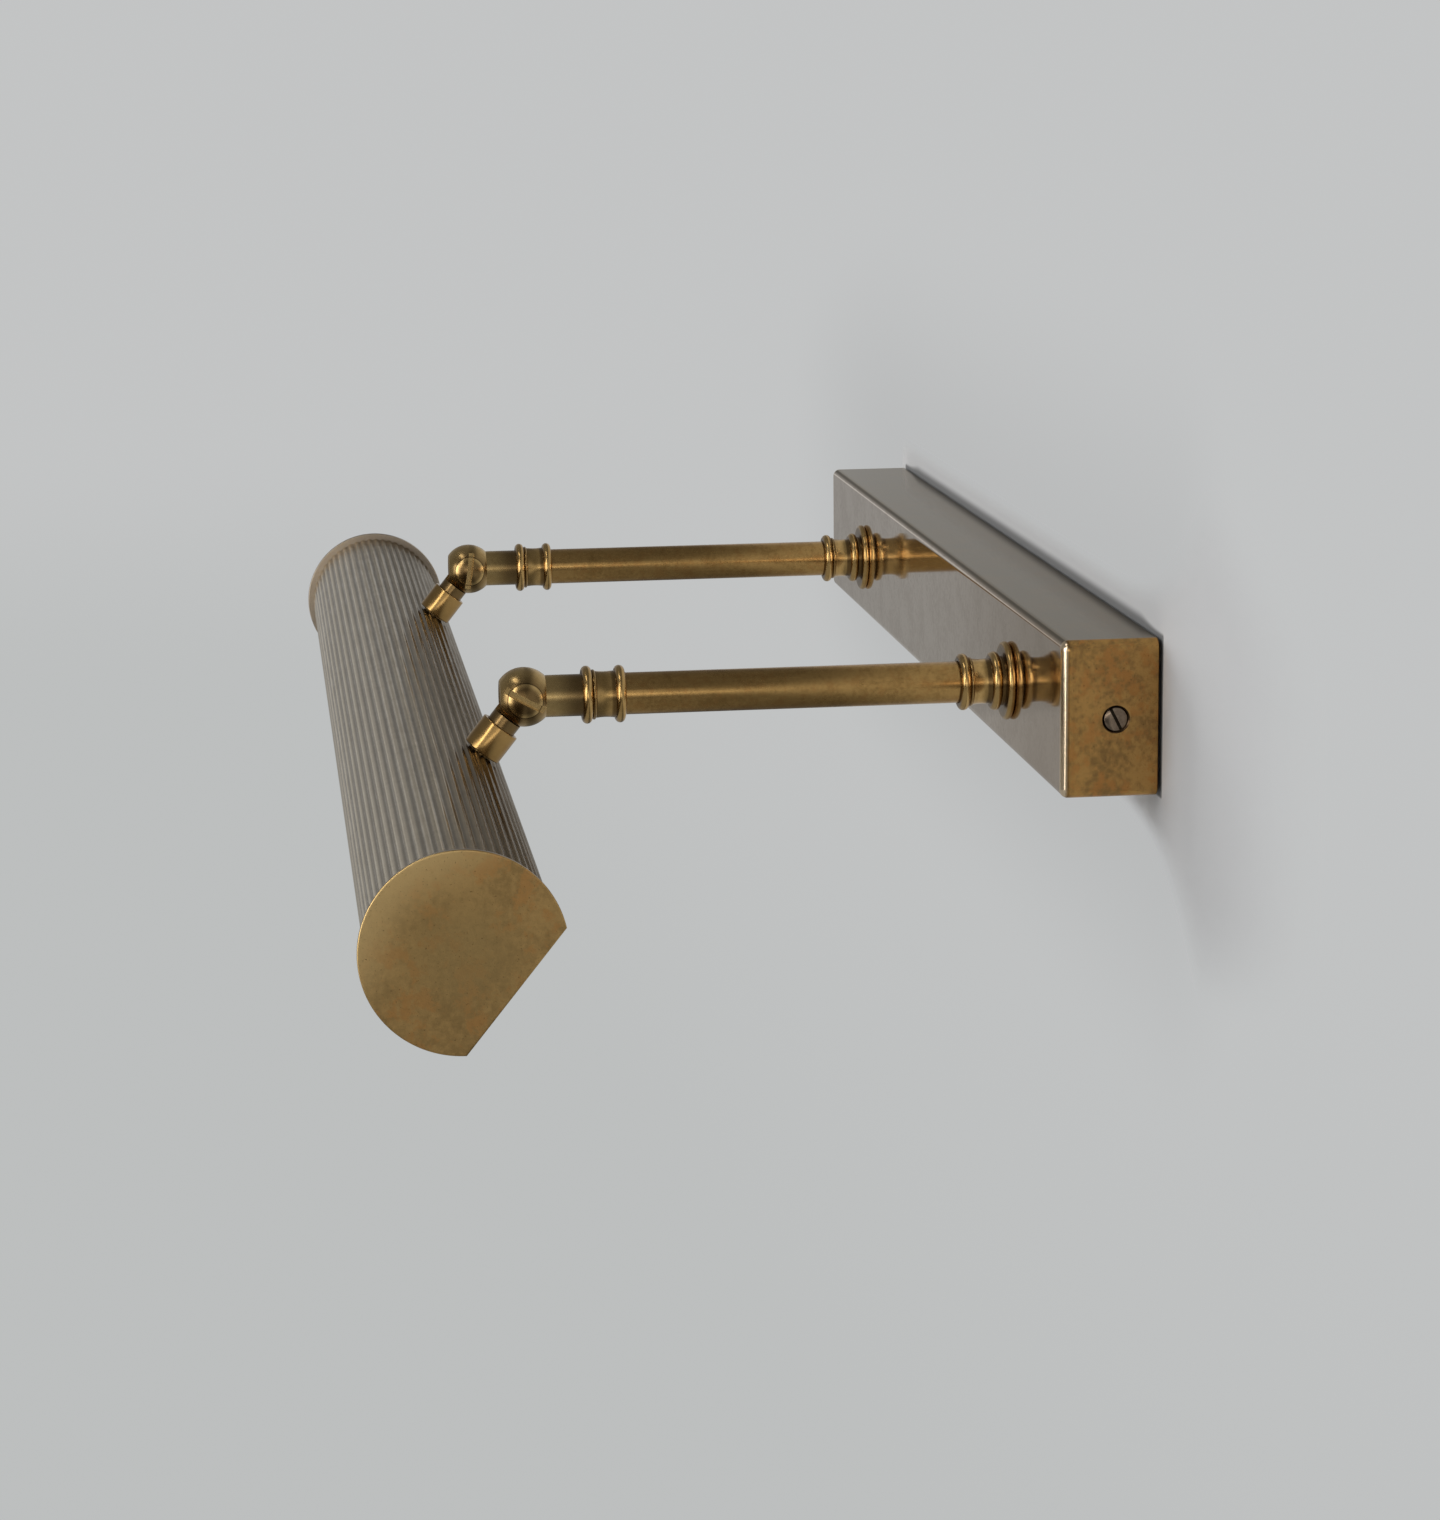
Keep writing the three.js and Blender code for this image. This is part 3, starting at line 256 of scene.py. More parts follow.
def eased(profile: Points, ease: float) -> Points:
    """Breaks the corners of a closed outline with a small curve.

    The outline leaves its incoming side a short way before a corner and meets its outgoing
    side as far behind it, along the quadratic curve that has the corner as its middle
    point. Corners on the axis and nearly flat corners stay.

    Args:
        profile: Corners of the outline, one row each.
        ease: How far from its corner a curve starts.

    Returns:
        The eased outline.
    """
    before = profile - np.roll(profile, 1, axis=0)
    after = np.roll(profile, -1, axis=0) - profile
    length_before = np.linalg.norm(before, axis=1, keepdims=True)
    length_after = np.linalg.norm(after, axis=1, keepdims=True)
    cosine = (before * after).sum(axis=1, keepdims=True) / (length_before * length_after)
    turns = (cosine < math.cos(math.radians(EASED_DEGREES))) & (profile[:, :1] > WELD)
    room = np.minimum(length_before, length_after) * EASE_SHARE
    reach = np.where(turns, np.minimum(ease, room), 0.0)
    start = (profile - before / length_before * reach)[:, None, :]
    end = (profile + after / length_after * reach)[:, None, :]
    share = np.linspace(0.0, 1.0, EASE_POINTS)[None, :, None]
    corner = profile[:, None, :]
    curve = (1 - share) ** 2 * start + 2 * share * (1 - share) * corner + share**2 * end
    kept = np.repeat(turns, EASE_POINTS, axis=1)
    kept[:, 0] = True
    return curve[kept]


def without_repeats(profile: Points) -> Points:
    """Leaves out each point of a closed outline that lies on the one before it."""
    steps = np.linalg.norm(profile - np.roll(profile, 1, axis=0), axis=1)
    return profile[steps > SAME_PLACE]


def groove_depth(profile: Points) -> Points:
    """Tells how deep each point of a turned outline lies between its neighbours.

    The depth is the largest radius within reach along the piece, less the point's own
    radius, over the depth that counts as full, kept between 0 and 1.

    Args:
        profile: Rows of radius and distance along.

    Returns:
        One depth for each point.
    """
    radius, along = profile[:, 0], profile[:, 1]
    near = np.abs(along[:, None] - along[None, :]) < GROOVE_REACH
    highest = np.where(near, radius[None, :], 0.0).max(axis=1)
    return np.clip((highest - radius) / GROOVE_FULL, 0.0, 1.0)


def turned(
    name: str, profile: Points, seat: Seat, steps: int = TURN_STEPS, ease: float = EDGE_EASE
) -> Piece:
    """Turns a closed outline round the seat's direction along.

    A point of radius r and distance s along goes to the places at which the two sideways
    distances are r times the cosine and r times the sine of the turn.

    Args:
        name: Name of the piece.
        profile: Rows of radius and distance along, round the outline.
        seat: Where and which way the piece is turned.
        steps: Number of steps round.
        ease: Size of the curves that break its edges.

    Returns:
        The new piece.
    """
    outline = eased(without_repeats(profile), ease)
    turn = np.arange(steps) * 2 * math.pi / steps
    radius, along = outline[:, :1], outline[:, 1:]
    points = seat.put(radius * np.cos(turn), along, radius * np.sin(turn))
    return surface(name, points, loop_rows=True, groove=groove_depth(outline)[:, None])


def prism(
    name: str, outline: Points, start: float, end: float, seat: Seat, groove: Points | None = None
) -> Piece:
    """Carries a closed outline straight along X.

    Args:
        name: Name of the piece.
        outline: Rows of distance along the seat and in its third direction.
        start: X of the first end.
        end: X of the last end.
        seat: A seat whose direction beside is X.
        groove: How deep in a groove each point of the outline lies.

    Returns:
        The new piece.
    """
    x = np.array([start, end])[:, None]
    points = seat.put(x, outline[None, :, 0], outline[None, :, 1])
    return surface(name, points, lids=True, groove=None if groove is None else groove[None, :])


def block(name: str, seat: Seat, beside: Span, along: Span, third: Span) -> Piece:
    """Makes a plain block, as a tool.

    Its four corners beside go round in step with those in the third direction, at the first
    and at the last distance along.

    Args:
        name: Name of the tool.
        seat: Where it stands.
        beside: First and last distance in the direction beside.
        along: First and last distance along.
        third: First and last distance in the third direction.

    Returns:
        The tool.
    """
    a = np.array([beside[0], beside[1], beside[1], beside[0]])
    c = np.array([third[0], third[0], third[1], third[1]])
    return surface(name, seat.put(a, np.asarray(along)[:, None], c), lids=True)


def carve(piece: Piece, tool: Piece, how: Cut) -> None:
    """Joins a tool to a piece or takes it away, and removes the tool.

    Args:
        piece: The piece that is changed.
        tool: The tool, which doesn't stay in the scene.
        how: Whether the tool is joined or taken away.
    """
    modifier = piece.modifiers.new("cut", "BOOLEAN")
    modifier.operation = how.value
    modifier.object = tool
    modifier.solver = "EXACT"
    rough = piece.data
    graph = bpy.context.evaluated_depsgraph_get()
    piece.data = bpy.data.meshes.new_from_object(piece.evaluated_get(graph))
    piece.modifiers.clear()
    bpy.data.meshes.remove(rough)
    bpy.data.objects.remove(tool)
    piece.data.name = piece.name


def rounded_edges(piece: Piece, width: float) -> None:
    """Gives a carved piece's sharp edges a small round.

    Args:
        piece: The carved piece.
        width: How wide the rounds are.
    """
    modifier = piece.modifiers.new("edges", "BEVEL")
    modifier.width = width
    modifier.segments = BEVEL_SEGMENTS
    modifier.limit_method = "ANGLE"
    modifier.angle_limit = math.radians(BEVEL_DEGREES)
    modifier.harden_normals = True
    piece.data.shade_smooth()


def bead(at: float, radius: float, half_width: float, steps: int = BEAD_STEPS) -> Points:
    """A half round that stands out to a radius.

    The radius falls from its crest by half the width times one less the cosine of the turn,
    and the distance moves by half the width times its sine.

    Args:
        at: Distance along of its crest.
        radius: Radius of its crest.
        half_width: Half its width along.
        steps: Number of steps over it.

    Returns:
        Rows of radius and distance along.
    """
    turn = np.linspace(-QUARTER, QUARTER, steps + 1)
    radii = radius - half_width * (1 - np.cos(turn))
    return np.stack([radii, at + half_width * np.sin(turn)], axis=1)


def cove(start: float, end: float, edge: float, waist: float) -> Points:
    """A hollow between two places that dips from the edge radius to the waist as a sine does.

    Args:
        start: Distance along at which it starts.
        end: Distance along at which it ends.
        edge: Radius at both ends.
        waist: Radius half way.

    Returns:
        Rows of radius and distance along.
    """
    share = np.linspace(0.0, 1.0, COVE_POINTS)
    radii = edge - (edge - waist) * np.sin(math.pi * share)
    return np.stack([radii, start + (end - start) * share], axis=1)


def arc(radius: float, first: float, last: float, count: int) -> Points:
    """A part of a circle: its radius times the sine and times the cosine of each angle."""
    turn = np.linspace(first, last, count)
    return radius * np.stack([np.sin(turn), np.cos(turn)], axis=1)


def corners(*pairs: Span) -> Points:
    """Plain corners of an outline, as rows."""
    return np.array(pairs, dtype=float)


@dataclass(frozen=True)
class Ball:
    """What both halves of a ball knuckle share."""

    radius: float = 9.0 * MM
    flat_at: float = 7.3 * MM
    parting: float = 0.15 * MM

    @property
    def last_angle(self) -> float:
        """The angle from the pivot's axis at which a half ball meets its parting face."""
        return math.acos(self.parting / self.radius)

    def clear_of_other(self, neck: Piece, seat: Seat) -> None:
        """Takes the other half ball's room, and two partings more, away from a neck.

        Args:
            neck: The neck.
            seat: The ball's centre, looking from the other half to this one.
        """
        other = arc(self.radius + 2 * self.parting, 0.0, QUARTER, HEAD_POINTS) * (1, -1)
        profile = np.concatenate([corners((0, 0)), other])
        carve(neck, turned("clear", profile, seat, ease=0.0), Cut.TAKE)

    def flatten_front(self, half: Piece, seat: Seat) -> None:
        """Takes a half ball's front away at the flat.

        Args:
            half: The half ball.
            seat: The ball's centre, looking along X, with Y beside.
        """
        far = 2 * self.radius
        front = block("front", seat, (-far, -self.flat_at), (-far, far), (-far, far))
        carve(half, front, Cut.TAKE)


BALL = Ball()


@dataclass(frozen=True)
class Cloud:
    """A layer of cloudy noise, and from where to where in its values it comes to count."""

    scale: float
    detail: float
    roughness: float
    shift: float = 0.0
    reach: Span = (0.0, 1.0)


class Bench:
    """The nodes of one material, each fed by the ones made before it."""

    def __init__(self, name: str) -> None:
        """Starts an empty material.

        Args:
            name: Name of the material.
        """
        self.material = bpy.data.materials.new(name)
        self.material.use_nodes = True
        self.tree = self.material.node_tree
        self.tree.nodes.clear()
        self.output = self.add("ShaderNodeOutputMaterial")
        self.coordinates: Socket = self.add("ShaderNodeTexCoord").outputs["Object"]

    def feed(self, target: Socket, source: Source) -> None:
        """Links a socket to another one, or sets it to a plain value.

        Args:
            target: The socket that takes the value.
            source: A socket, a number, a vector or a colour.
        """
        if isinstance(source, bpy.types.NodeSocket):
            self.tree.links.new(source, target)
        elif target.type == "RGBA":
            target.default_value = (*source, 1.0)
        else:
            target.default_value = source

    def add(self, kind: str, *fed: tuple[str | int, Source], **settings: str) -> Node:
        """Adds a node.

        Args:
            kind: Blender's name for the sort of node.
            *fed: Its inputs by name or number, each with what feeds it.
            **settings: Values for the node's own options.

        Returns:
            The node.
        """
        node = self.tree.nodes.new(kind)
        for key, value in settings.items():
            setattr(node, key, value)
        for place, source in fed:
            self.feed(node.inputs[place], source)
        return node

    def axis(self, letter: str) -> Socket:
        """One of the piece's own three coordinates, X, Y or Z."""
        return self.add("ShaderNodeSeparateXYZ", ("Vector", self.coordinates)).outputs[letter]

    def noise(self, cloud: Cloud, times: float = 1.0, stretch: Triple = EVEN) -> Socket:
        """Cloudy noise in the piece's own coordinates.

        Args:
            cloud: The layer.
            times: Makes its scale so many times as large.
            stretch: Factors on the three coordinates.

        Returns:
            A value round one half.
        """
        mapping = self.add(
            "ShaderNodeMapping", ("Vector", self.coordinates), ("Scale", stretch),
            ("Location", (cloud.shift, 0.0, 0.0)))
        node = self.add(
            "ShaderNodeTexNoise", ("Vector", mapping.outputs["Vector"]),
            ("Scale", cloud.scale * times), ("Detail", cloud.detail),
            ("Roughness", cloud.roughness))
        return node.outputs["Fac"]

    def layer(self, cloud: Cloud, share: float, times: float = 1.0) -> Socket:
        """How much a layer of noise counts at a point, from 0 to its share."""
        return self.ramp(self.noise(cloud, times), cloud.reach, (0.0, share))

    def ramp(self, value: Source, reach: Span, to: Span = (0.0, 1.0)) -> Socket:
        """Maps a value smoothly from one range to another and holds it there.

        Args:
            value: The value.
            reach: Where the change starts and ends.
            to: What the value becomes at its start and its end.

        Returns:
            The mapped value.
        """
        node = self.add(
            "ShaderNodeMapRange", ("Value", value), ("From Min", reach[0]),
            ("From Max", reach[1]), ("To Min", to[0]), ("To Max", to[1]),
            interpolation_type="SMOOTHSTEP")
        return node.outputs["Result"]

    def sum(self, how: Sum, first: Source, second: Source = 0.0) -> Socket:
        """Does a sum with one or two numbers."""
        return self.add("ShaderNodeMath", (0, first), (1, second), operation=how.value).outputs[0]

    def plus(self, first: Source, second: Source) -> Socket:
        """The two together."""
        return self.sum(Sum.PLUS, first, second)

    def times(self, first: Source, second: Source) -> Socket:
        """The one times the other."""
        return self.sum(Sum.TIMES, first, second)

    def minus(self, value: Source) -> Socket:
        """A number with its sign turned."""
        return self.sum(Sum.TIMES, value, -1.0)

    def size(self, value: Source) -> Socket:
        """A number without its sign."""
        return self.sum(Sum.SIZE, value)

    def over(self, value: Source, limit: float, factor: float = 1.0) -> Socket:
        """How far a value goes over a limit, times a factor; zero below the limit."""
        return self.times(self.sum(Sum.HIGHEST, self.sum(Sum.MINUS, value, limit)), factor)

    def vector(self, how: Sum, first: Source, second: Triple = BLACK) -> Socket:
        """Does a sum with one or two vectors, and gives a vector, a length or a dot product."""
        node = self.add("ShaderNodeVectorMath", (0, first), (1, second), operation=how.value)
        return node.outputs["Value" if how in (Sum.DOT, Sum.LENGTH) else "Vector"]

    def across(self, place: Triple) -> Socket:
        """The way to a point from the line along X through a place, square to that line."""
        way = self.vector(Sum.MINUS, self.coordinates, place)
        return self.vector(Sum.TIMES, way, (0.0, 1.0, 1.0))

    def span(self, first: Socket, second: Socket) -> Socket:
        """The length of the long side over two sides at a right angle."""
        sides = self.add("ShaderNodeCombineXYZ", ("X", first), ("Y", second))
        return self.vector(Sum.LENGTH, sides.outputs["Vector"])

    def blend(self, factor: Source, first: Source, second: Source) -> Socket:
        """Blends two colours.

        Args:
            factor: How much of the second shows, from 0 to 1.
            first: The first colour.
            second: The second colour.

        Returns:
            The colour.
        """
        node = self.add(
            "ShaderNodeMix", (MIX_FACTOR, factor), (MIX_FIRST, first), (MIX_SECOND, second),
            data_type="RGBA")
        return node.outputs[MIX_RESULT]

    def bump(self, height: Socket, depth: float) -> Socket:
        """Turns a height into a bumpy normal."""
        fed = ("Height", height), ("Distance", depth), ("Strength", 1.0)
        return self.add("ShaderNodeBump", *fed).outputs["Normal"]

    def choose(self, factor: Source, first: Socket, second: Socket) -> Socket:
        """Mixes two shaders by how much of the second shows."""
        return self.add("ShaderNodeMixShader", (0, factor), (1, first), (2, second)).outputs[0]

    def finish(self, shader: Socket) -> Material:
        """Joins a shader to the output, which makes the material whole."""
        self.feed(self.output.inputs["Surface"], shader)
        return self.material

    def principled(self, **sockets: Source) -> Material:
        """Finishes with the surface shader, whose inputs are named with _ for each space."""
        fed = ((key.replace("_", " "), value) for key, value in sockets.items())
        return self.finish(self.add("ShaderNodeBsdfPrincipled", *fed).outputs["BSDF"])


CLOUDS = Cloud(1.0, 5.0, 0.62)
MOTTLE = Cloud(7.0, 4.0, 0.6, 3.7)
WARMTH = Cloud(2.3, 5.0, 0.7, 5.9, (0.50, 0.62))
GLINTS = Cloud(1000.0, 2.0, 0.7, 6.3, (0.62, 0.74))
SPECKS = Cloud(1300.0, 2.0, 0.7, 9.1, (0.63, 0.73))
GRAIN = Cloud(900.0, 3.0, 0.6, 1.3)
PATCHES = Cloud(1.0, 4.0, 0.6, 0.0, (0.35, 0.65))
CLOUD_PART, MOTTLE_PART = 0.55, 0.45
GRAIN_PART, PATCHY_PART = 0.5, 0.5
ROUGH_REACH = (0.38, 0.62)
GROOVE_SHOWS = (0.1, 0.9)


@dataclass(frozen=True)
class Brass:
    """Aged brass: clouds of patina, fine specks, dirt in grooves and the marks of brushing."""

    name: str
    bright: Colour
    patina: Colour
    warm: Colour
    dirt: Colour
    cloud_scale: float
    cloud_edges: Span
    roughness: Span
    grain: Triple = EVEN
    grain_depth: float = 0.008 * MM
    speck_share: float = 0.5
    glint_share: float = 0.25
    warm_share: float = 0.6
    groove_share: float = 0.75

    def glancing(self, bench: Bench) -> Source:
        """The tint of what the metal mirrors at a glancing angle; white unless a finish says so."""
        return WHITE

    def dulled(self, bench: Bench, rough: Socket) -> Socket:
        """The roughness, as it is unless a finish makes some of its places duller."""
        return rough

    def tone(self, bench: Bench, stain: Socket, warmth: Socket) -> Socket:
        """Blends in patina and warm brown, each by its share, before specks and dirt."""
        return bench.blend(warmth, bench.blend(stain, self.bright, self.patina), self.warm)

    def material(self) -> Material:
        """Builds the finish.

        Returns:
            The material.
        """
        bench = Bench(self.name)
        patchy = bench.plus(
            bench.times(bench.noise(CLOUDS, self.cloud_scale), CLOUD_PART),
            bench.times(bench.noise(MOTTLE, self.cloud_scale), MOTTLE_PART))
        stain = bench.ramp(patchy, self.cloud_edges)
        colour = self.tone(bench, stain, bench.layer(WARMTH, self.warm_share, self.cloud_scale))
        colour = bench.blend(bench.layer(GLINTS, self.glint_share), colour, self.bright)
        colour = bench.blend(bench.layer(SPECKS, self.speck_share), colour, self.dirt)
        depth = bench.add("ShaderNodeAttribute", attribute_name=GROOVE).outputs["Fac"]
        dirty = bench.ramp(depth, GROOVE_SHOWS, (0.0, self.groove_share))
        grain = bench.noise(GRAIN, stretch=self.grain)
        uneven = bench.plus(bench.times(grain, GRAIN_PART), bench.times(patchy, PATCHY_PART))
        return bench.principled(
            Base_Color=bench.blend(dirty, colour, self.dirt),
            Metallic=1.0,
            Roughness=self.dulled(bench, bench.ramp(uneven, ROUGH_REACH, self.roughness)),
            Normal=bench.bump(grain, self.grain_depth),
            Specular_Tint=self.glancing(bench))


@dataclass(frozen=True)
class BoxBrass(Brass):
    """The wall box's brass: greyer on its front and top, as painted reflection and painted shade,
    with a painted highlight on its upright edges.
    """

    # painted reflection: the front's greyer colour, paler towards the far end, stands in for what
    # the front mirrors
    front: Colour = (0.54, 0.41, 0.29)
    far_front_sheen: Colour = (0.86, 0.73, 0.60)
    far_sheen_reach: Span = (195.0 * MM, 0.0 * MM)
    # painted shade: the top is painted darker than the other faces
    top: Colour = (0.13, 0.115, 0.095)
    # painted highlight along the upright edges of the box
    rubbed: Colour = (0.90, 0.72, 0.50)
    end_reach: Span = (204.4 * MM, 205.6 * MM)
    highlight_edge_reach: Span = (-27.0 * MM, -28.0 * MM)
    top_reach: Span = (21.6 * MM, 22.6 * MM)
    screw: Triple = (0.0, -13.2 * MM, 0.0)
    # painted shade in the sinks of the end screws
    sink_shade_reach: Span = (4.0 * MM, 4.2 * MM)
    top_shade_tint: Colour = (0.75, 0.71, 0.65)
    end_roughness: float = 0.16
    face_stain: float = 0.22

    def dulled(self, bench: Bench, rough: Socket) -> Socket:
        """The ends are duller than the front."""
        end = bench.ramp(bench.size(bench.axis("X")), self.end_reach, (0.0, self.end_roughness))
        return bench.plus(rough, end)

    def glancing(self, bench: Bench) -> Socket:
        """The top is duller than the front: painted shade on what it mirrors."""
        return bench.blend(bench.ramp(bench.axis("Z"), self.top_reach), WHITE, self.top_shade_tint)

    def faces(self, bench: Bench, stain: Socket) -> Socket:
        """Blends the front, which is painted paler towards the far end as a painted reflection, and
        the darker top, painted shade.

        Args:
            bench: The nodes of the material.
            stain: How much patina there is, from 0 to 1.

        Returns:
            The colour.
        """
        far = bench.ramp(bench.axis("X"), self.far_sheen_reach)
        # painted reflection: the front is painted paler towards its far end
        front = bench.blend(far, self.front, self.far_front_sheen)
        # painted shade on the top
        clean = bench.blend(bench.ramp(bench.axis("Z"), self.top_reach), front, self.top)
        return bench.blend(bench.times(stain, self.face_stain), clean, self.patina)

    def tone(self, bench: Bench, stain: Socket, warmth: Socket) -> Socket:
        """Blends front, top, ends, the painted highlight on the upright edges and the painted shade
        in the sinks of the end screws.

        Args:
            bench: The nodes of the material.
            stain: How much patina there is, from 0 to 1.
            warmth: How much of the warm brown shows, from 0 to 1.

        Returns:
            The colour.
        """
        end = bench.ramp(bench.size(bench.axis("X")), self.end_reach)
        tone = bench.blend(end, self.faces(bench, stain), super().tone(bench, stain, warmth))
        # painted highlight: the rubbed colour on the upright edges stands in for a highlight
        edge = bench.times(end, bench.ramp(bench.axis("Y"), self.highlight_edge_reach))
        tone = bench.blend(edge, tone, self.rubbed)
        # painted shade: the sinks round the end screws are painted dark
        apart = bench.vector(Sum.LENGTH, bench.across(self.screw))
        sink = bench.times(bench.ramp(apart, self.sink_shade_reach, (1.0, 0.0)), end)
        return bench.blend(sink, tone, self.dirt)


@dataclass(frozen=True)
class CapBrass(Brass):
    """The end caps' brass: darker in the middle, with a painted highlight at one side and a painted
    grey reflection round the rim.
    """

    middle: Colour = (0.42, 0.285, 0.115)
    middle_share: float = 0.6
    # painted highlight: the rubbed colour lights the cap's upper side
    rubbed: Colour = (0.72, 0.50, 0.22)
    # painted reflection: the rim is painted grey where its grazing reflection looks grey
    rim: Colour = (0.45, 0.38, 0.30)
    centre: Triple = (0.0, -206.7 * MM, -37.5 * MM)
    highlight_way: Triple = (0.0, -0.75, 0.66)
    middle_reach: Span = (4.0 * MM, 22.0 * MM)
    highlight_reach: Span = (12.0 * MM, 28.0 * MM)
    highlight_side: Span = (4.0 * MM, 24.0 * MM)
    rim_reflection_reach: Span = (299.5 * MM, 299.9 * MM)

    def tone(self, bench: Bench, stain: Socket, warmth: Socket) -> Socket:
        """Blends middle, outer part, the painted highlight on one side and the rim's painted
        reflection.

        Args:
            bench: The nodes of the material.
            stain: How much patina there is, from 0 to 1.
            warmth: How much of the warm brown shows, from 0 to 1.

        Returns:
            The colour.
        """
        offset = bench.across(self.centre)
        radius = bench.vector(Sum.LENGTH, offset)
        inward = bench.ramp(radius, self.middle_reach, (self.middle_share, 0.0))
        tone = bench.blend(inward, super().tone(bench, stain, warmth), self.middle)
        # painted highlight on the cap's upper side, near its edge
        upward = bench.ramp(bench.vector(Sum.DOT, offset, self.highlight_way), self.highlight_side)
        rubbed = bench.times(bench.ramp(radius, self.highlight_reach), upward)
        tone = bench.blend(rubbed, tone, self.rubbed)
        # painted reflection: grey on the cap's rim and edge
        face = bench.ramp(bench.size(bench.axis("X")), self.rim_reflection_reach)
        return bench.blend(face, self.rim, tone)


@dataclass(frozen=True)
class KnuckleBrass(Brass):
    """The knuckles' brass, with a dark line where the clamp screw's head meets the ball."""

    line_at: float = 5.3 * MM
    line_half: float = 0.3 * MM
    line_share: float = 0.7

    def tone(self, bench: Bench, stain: Socket, warmth: Socket) -> Socket:
        """Blends in the line: darkest at its radius from the pivot's axis, gone half a width away.

        Args:
            bench: The nodes of the material.
            stain: How much patina there is, from 0 to 1.
            warmth: How much of the warm brown shows, from 0 to 1.

        Returns:
            The colour.
        """
        radius = bench.vector(Sum.LENGTH, bench.across(tuple(frame["joints"][0]["pos_m"])))
        apart = bench.size(bench.sum(Sum.MINUS, radius, self.line_at))
        line = bench.ramp(apart, (0.0, self.line_half), (self.line_share, 0.0))
        return bench.blend(line, super().tone(bench, stain, warmth), self.dirt)


@dataclass(frozen=True)
class ReededBrass(Brass):
    """The reeded tube's brass: greyer than the rest, with painted light on the open side and
    painted shade, dark brown, on the side of the wall.
    """

    # painted light: the open side of the tube is painted paler
    pale: Colour = (0.92, 0.82, 0.67)
    pale_light_reach: Span = (-206.0 * MM, -228.0 * MM)
    pale_light_share: float = 0.8
    # painted shade: the side of the wall is painted dark brown
    shaded: Colour = (0.130, 0.105, 0.080)
    shaded_reach: Span = (-222.0 * MM, -186.0 * MM)
    shaded_share: float = 0.9
    open_side_light_tint: Colour = (1.0, 0.97, 0.92)
    shaded_tint: Colour = (0.60, 0.55, 0.48)

    def glancing(self, bench: Bench) -> Socket:
        """Tints the reflection lightly on the open side and, as painted shade, more on the side of
        the wall.
        """
        shaded = bench.ramp(bench.axis("Y"), self.shaded_reach)
        return bench.blend(shaded, self.open_side_light_tint, self.shaded_tint)

    def tone(self, bench: Bench, stain: Socket, warmth: Socket) -> Socket:
        """Blends the grey of the open side, painted lighter, into the brown painted shade on the
        side of the wall.

        Args:
            bench: The nodes of the material.
            stain: How much patina there is, from 0 to 1.
            warmth: How much of the warm brown shows, from 0 to 1.

        Returns:
            The colour.
        """
        y = bench.axis("Y")
        # painted light on the open side
        pale = bench.times(bench.ramp(y, self.pale_light_reach), self.pale_light_share)
        tone = bench.blend(pale, super().tone(bench, stain, warmth), self.pale)
        # painted shade on the side of the wall
        shaded = bench.times(bench.ramp(y, self.shaded_reach), self.shaded_share)
        return bench.blend(shaded, tone, self.shaded)


@dataclass(frozen=True)
class Coating:
    """A plain paint, plastic, glaze, glass or plated finish with a faint unevenness."""

    name: str
    colour: Colour
    roughness: float
    metallic: float = 0.0
    shade: float = 0.9
    scale: float = 220.0
    duller: float = 1.2

    def tone(self, bench: Bench, patches: Socket) -> Socket:
        """Blends the colour and its darker patches."""
        darker = tuple(channel * self.shade for channel in self.colour)
        return bench.blend(patches, self.colour, darker)

    def material(self) -> Material:
        """Builds the finish.

        Returns:
            The material.
        """
        bench = Bench(self.name)
        patches = bench.layer(PATCHES, 1.0, self.scale)
        rough = bench.ramp(patches, (0.0, 1.0), (self.roughness, self.roughness * self.duller))
        return bench.principled(
            Base_Color=self.tone(bench, patches), Metallic=self.metallic, Roughness=rough)


@dataclass(frozen=True)
class ScrewNickel(Coating):
    """The end screws' worn nickel, with painted shade on the floor of the slot."""

    slot_reach: Span = (207.45 * MM, 207.65 * MM)
    # painted shade on the floor of the slot
    slot_shade: Colour = (0.02, 0.015, 0.01)

    def tone(self, bench: Bench, patches: Socket) -> Socket:
        """Blends painted shade in by how deep a point lies below the box's end."""
        # painted shade: the slot's floor is painted near black
        clean = bench.ramp(bench.size(bench.axis("X")), self.slot_reach)
        return bench.blend(clean, self.slot_shade, super().tone(bench, patches))


AGED = Brass(
    "aged brass", bright=(0.58, 0.375, 0.145), patina=(0.46, 0.290, 0.105),
    warm=(0.50, 0.290, 0.095), dirt=(0.09, 0.045, 0.016), cloud_scale=90.0,
    cloud_edges=(0.42, 0.64), roughness=(0.22, 0.25), grain_depth=0.001 * MM,
    speck_share=0.15, glint_share=0.0, warm_share=0.3)
ARM = Brass(
    "aged brass arm", bright=(0.47, 0.285, 0.100), patina=(0.34, 0.198, 0.066),
    warm=(0.40, 0.215, 0.070), dirt=(0.10, 0.055, 0.020), cloud_scale=120.0,
    cloud_edges=(0.42, 0.64), roughness=(0.22, 0.28), grain=(1.0, 0.08, 1.0),
    grain_depth=0.002 * MM, speck_share=0.25, glint_share=0.1)
CAP = CapBrass(
    "satin brass cap", bright=(0.56, 0.355, 0.135), patina=(0.37, 0.235, 0.090),
    warm=(0.54, 0.285, 0.095), dirt=(0.14, 0.080, 0.032), cloud_scale=60.0,
    cloud_edges=(0.40, 0.62), roughness=(0.34, 0.42), speck_share=0.7, glint_share=0.5,
    warm_share=0.8)
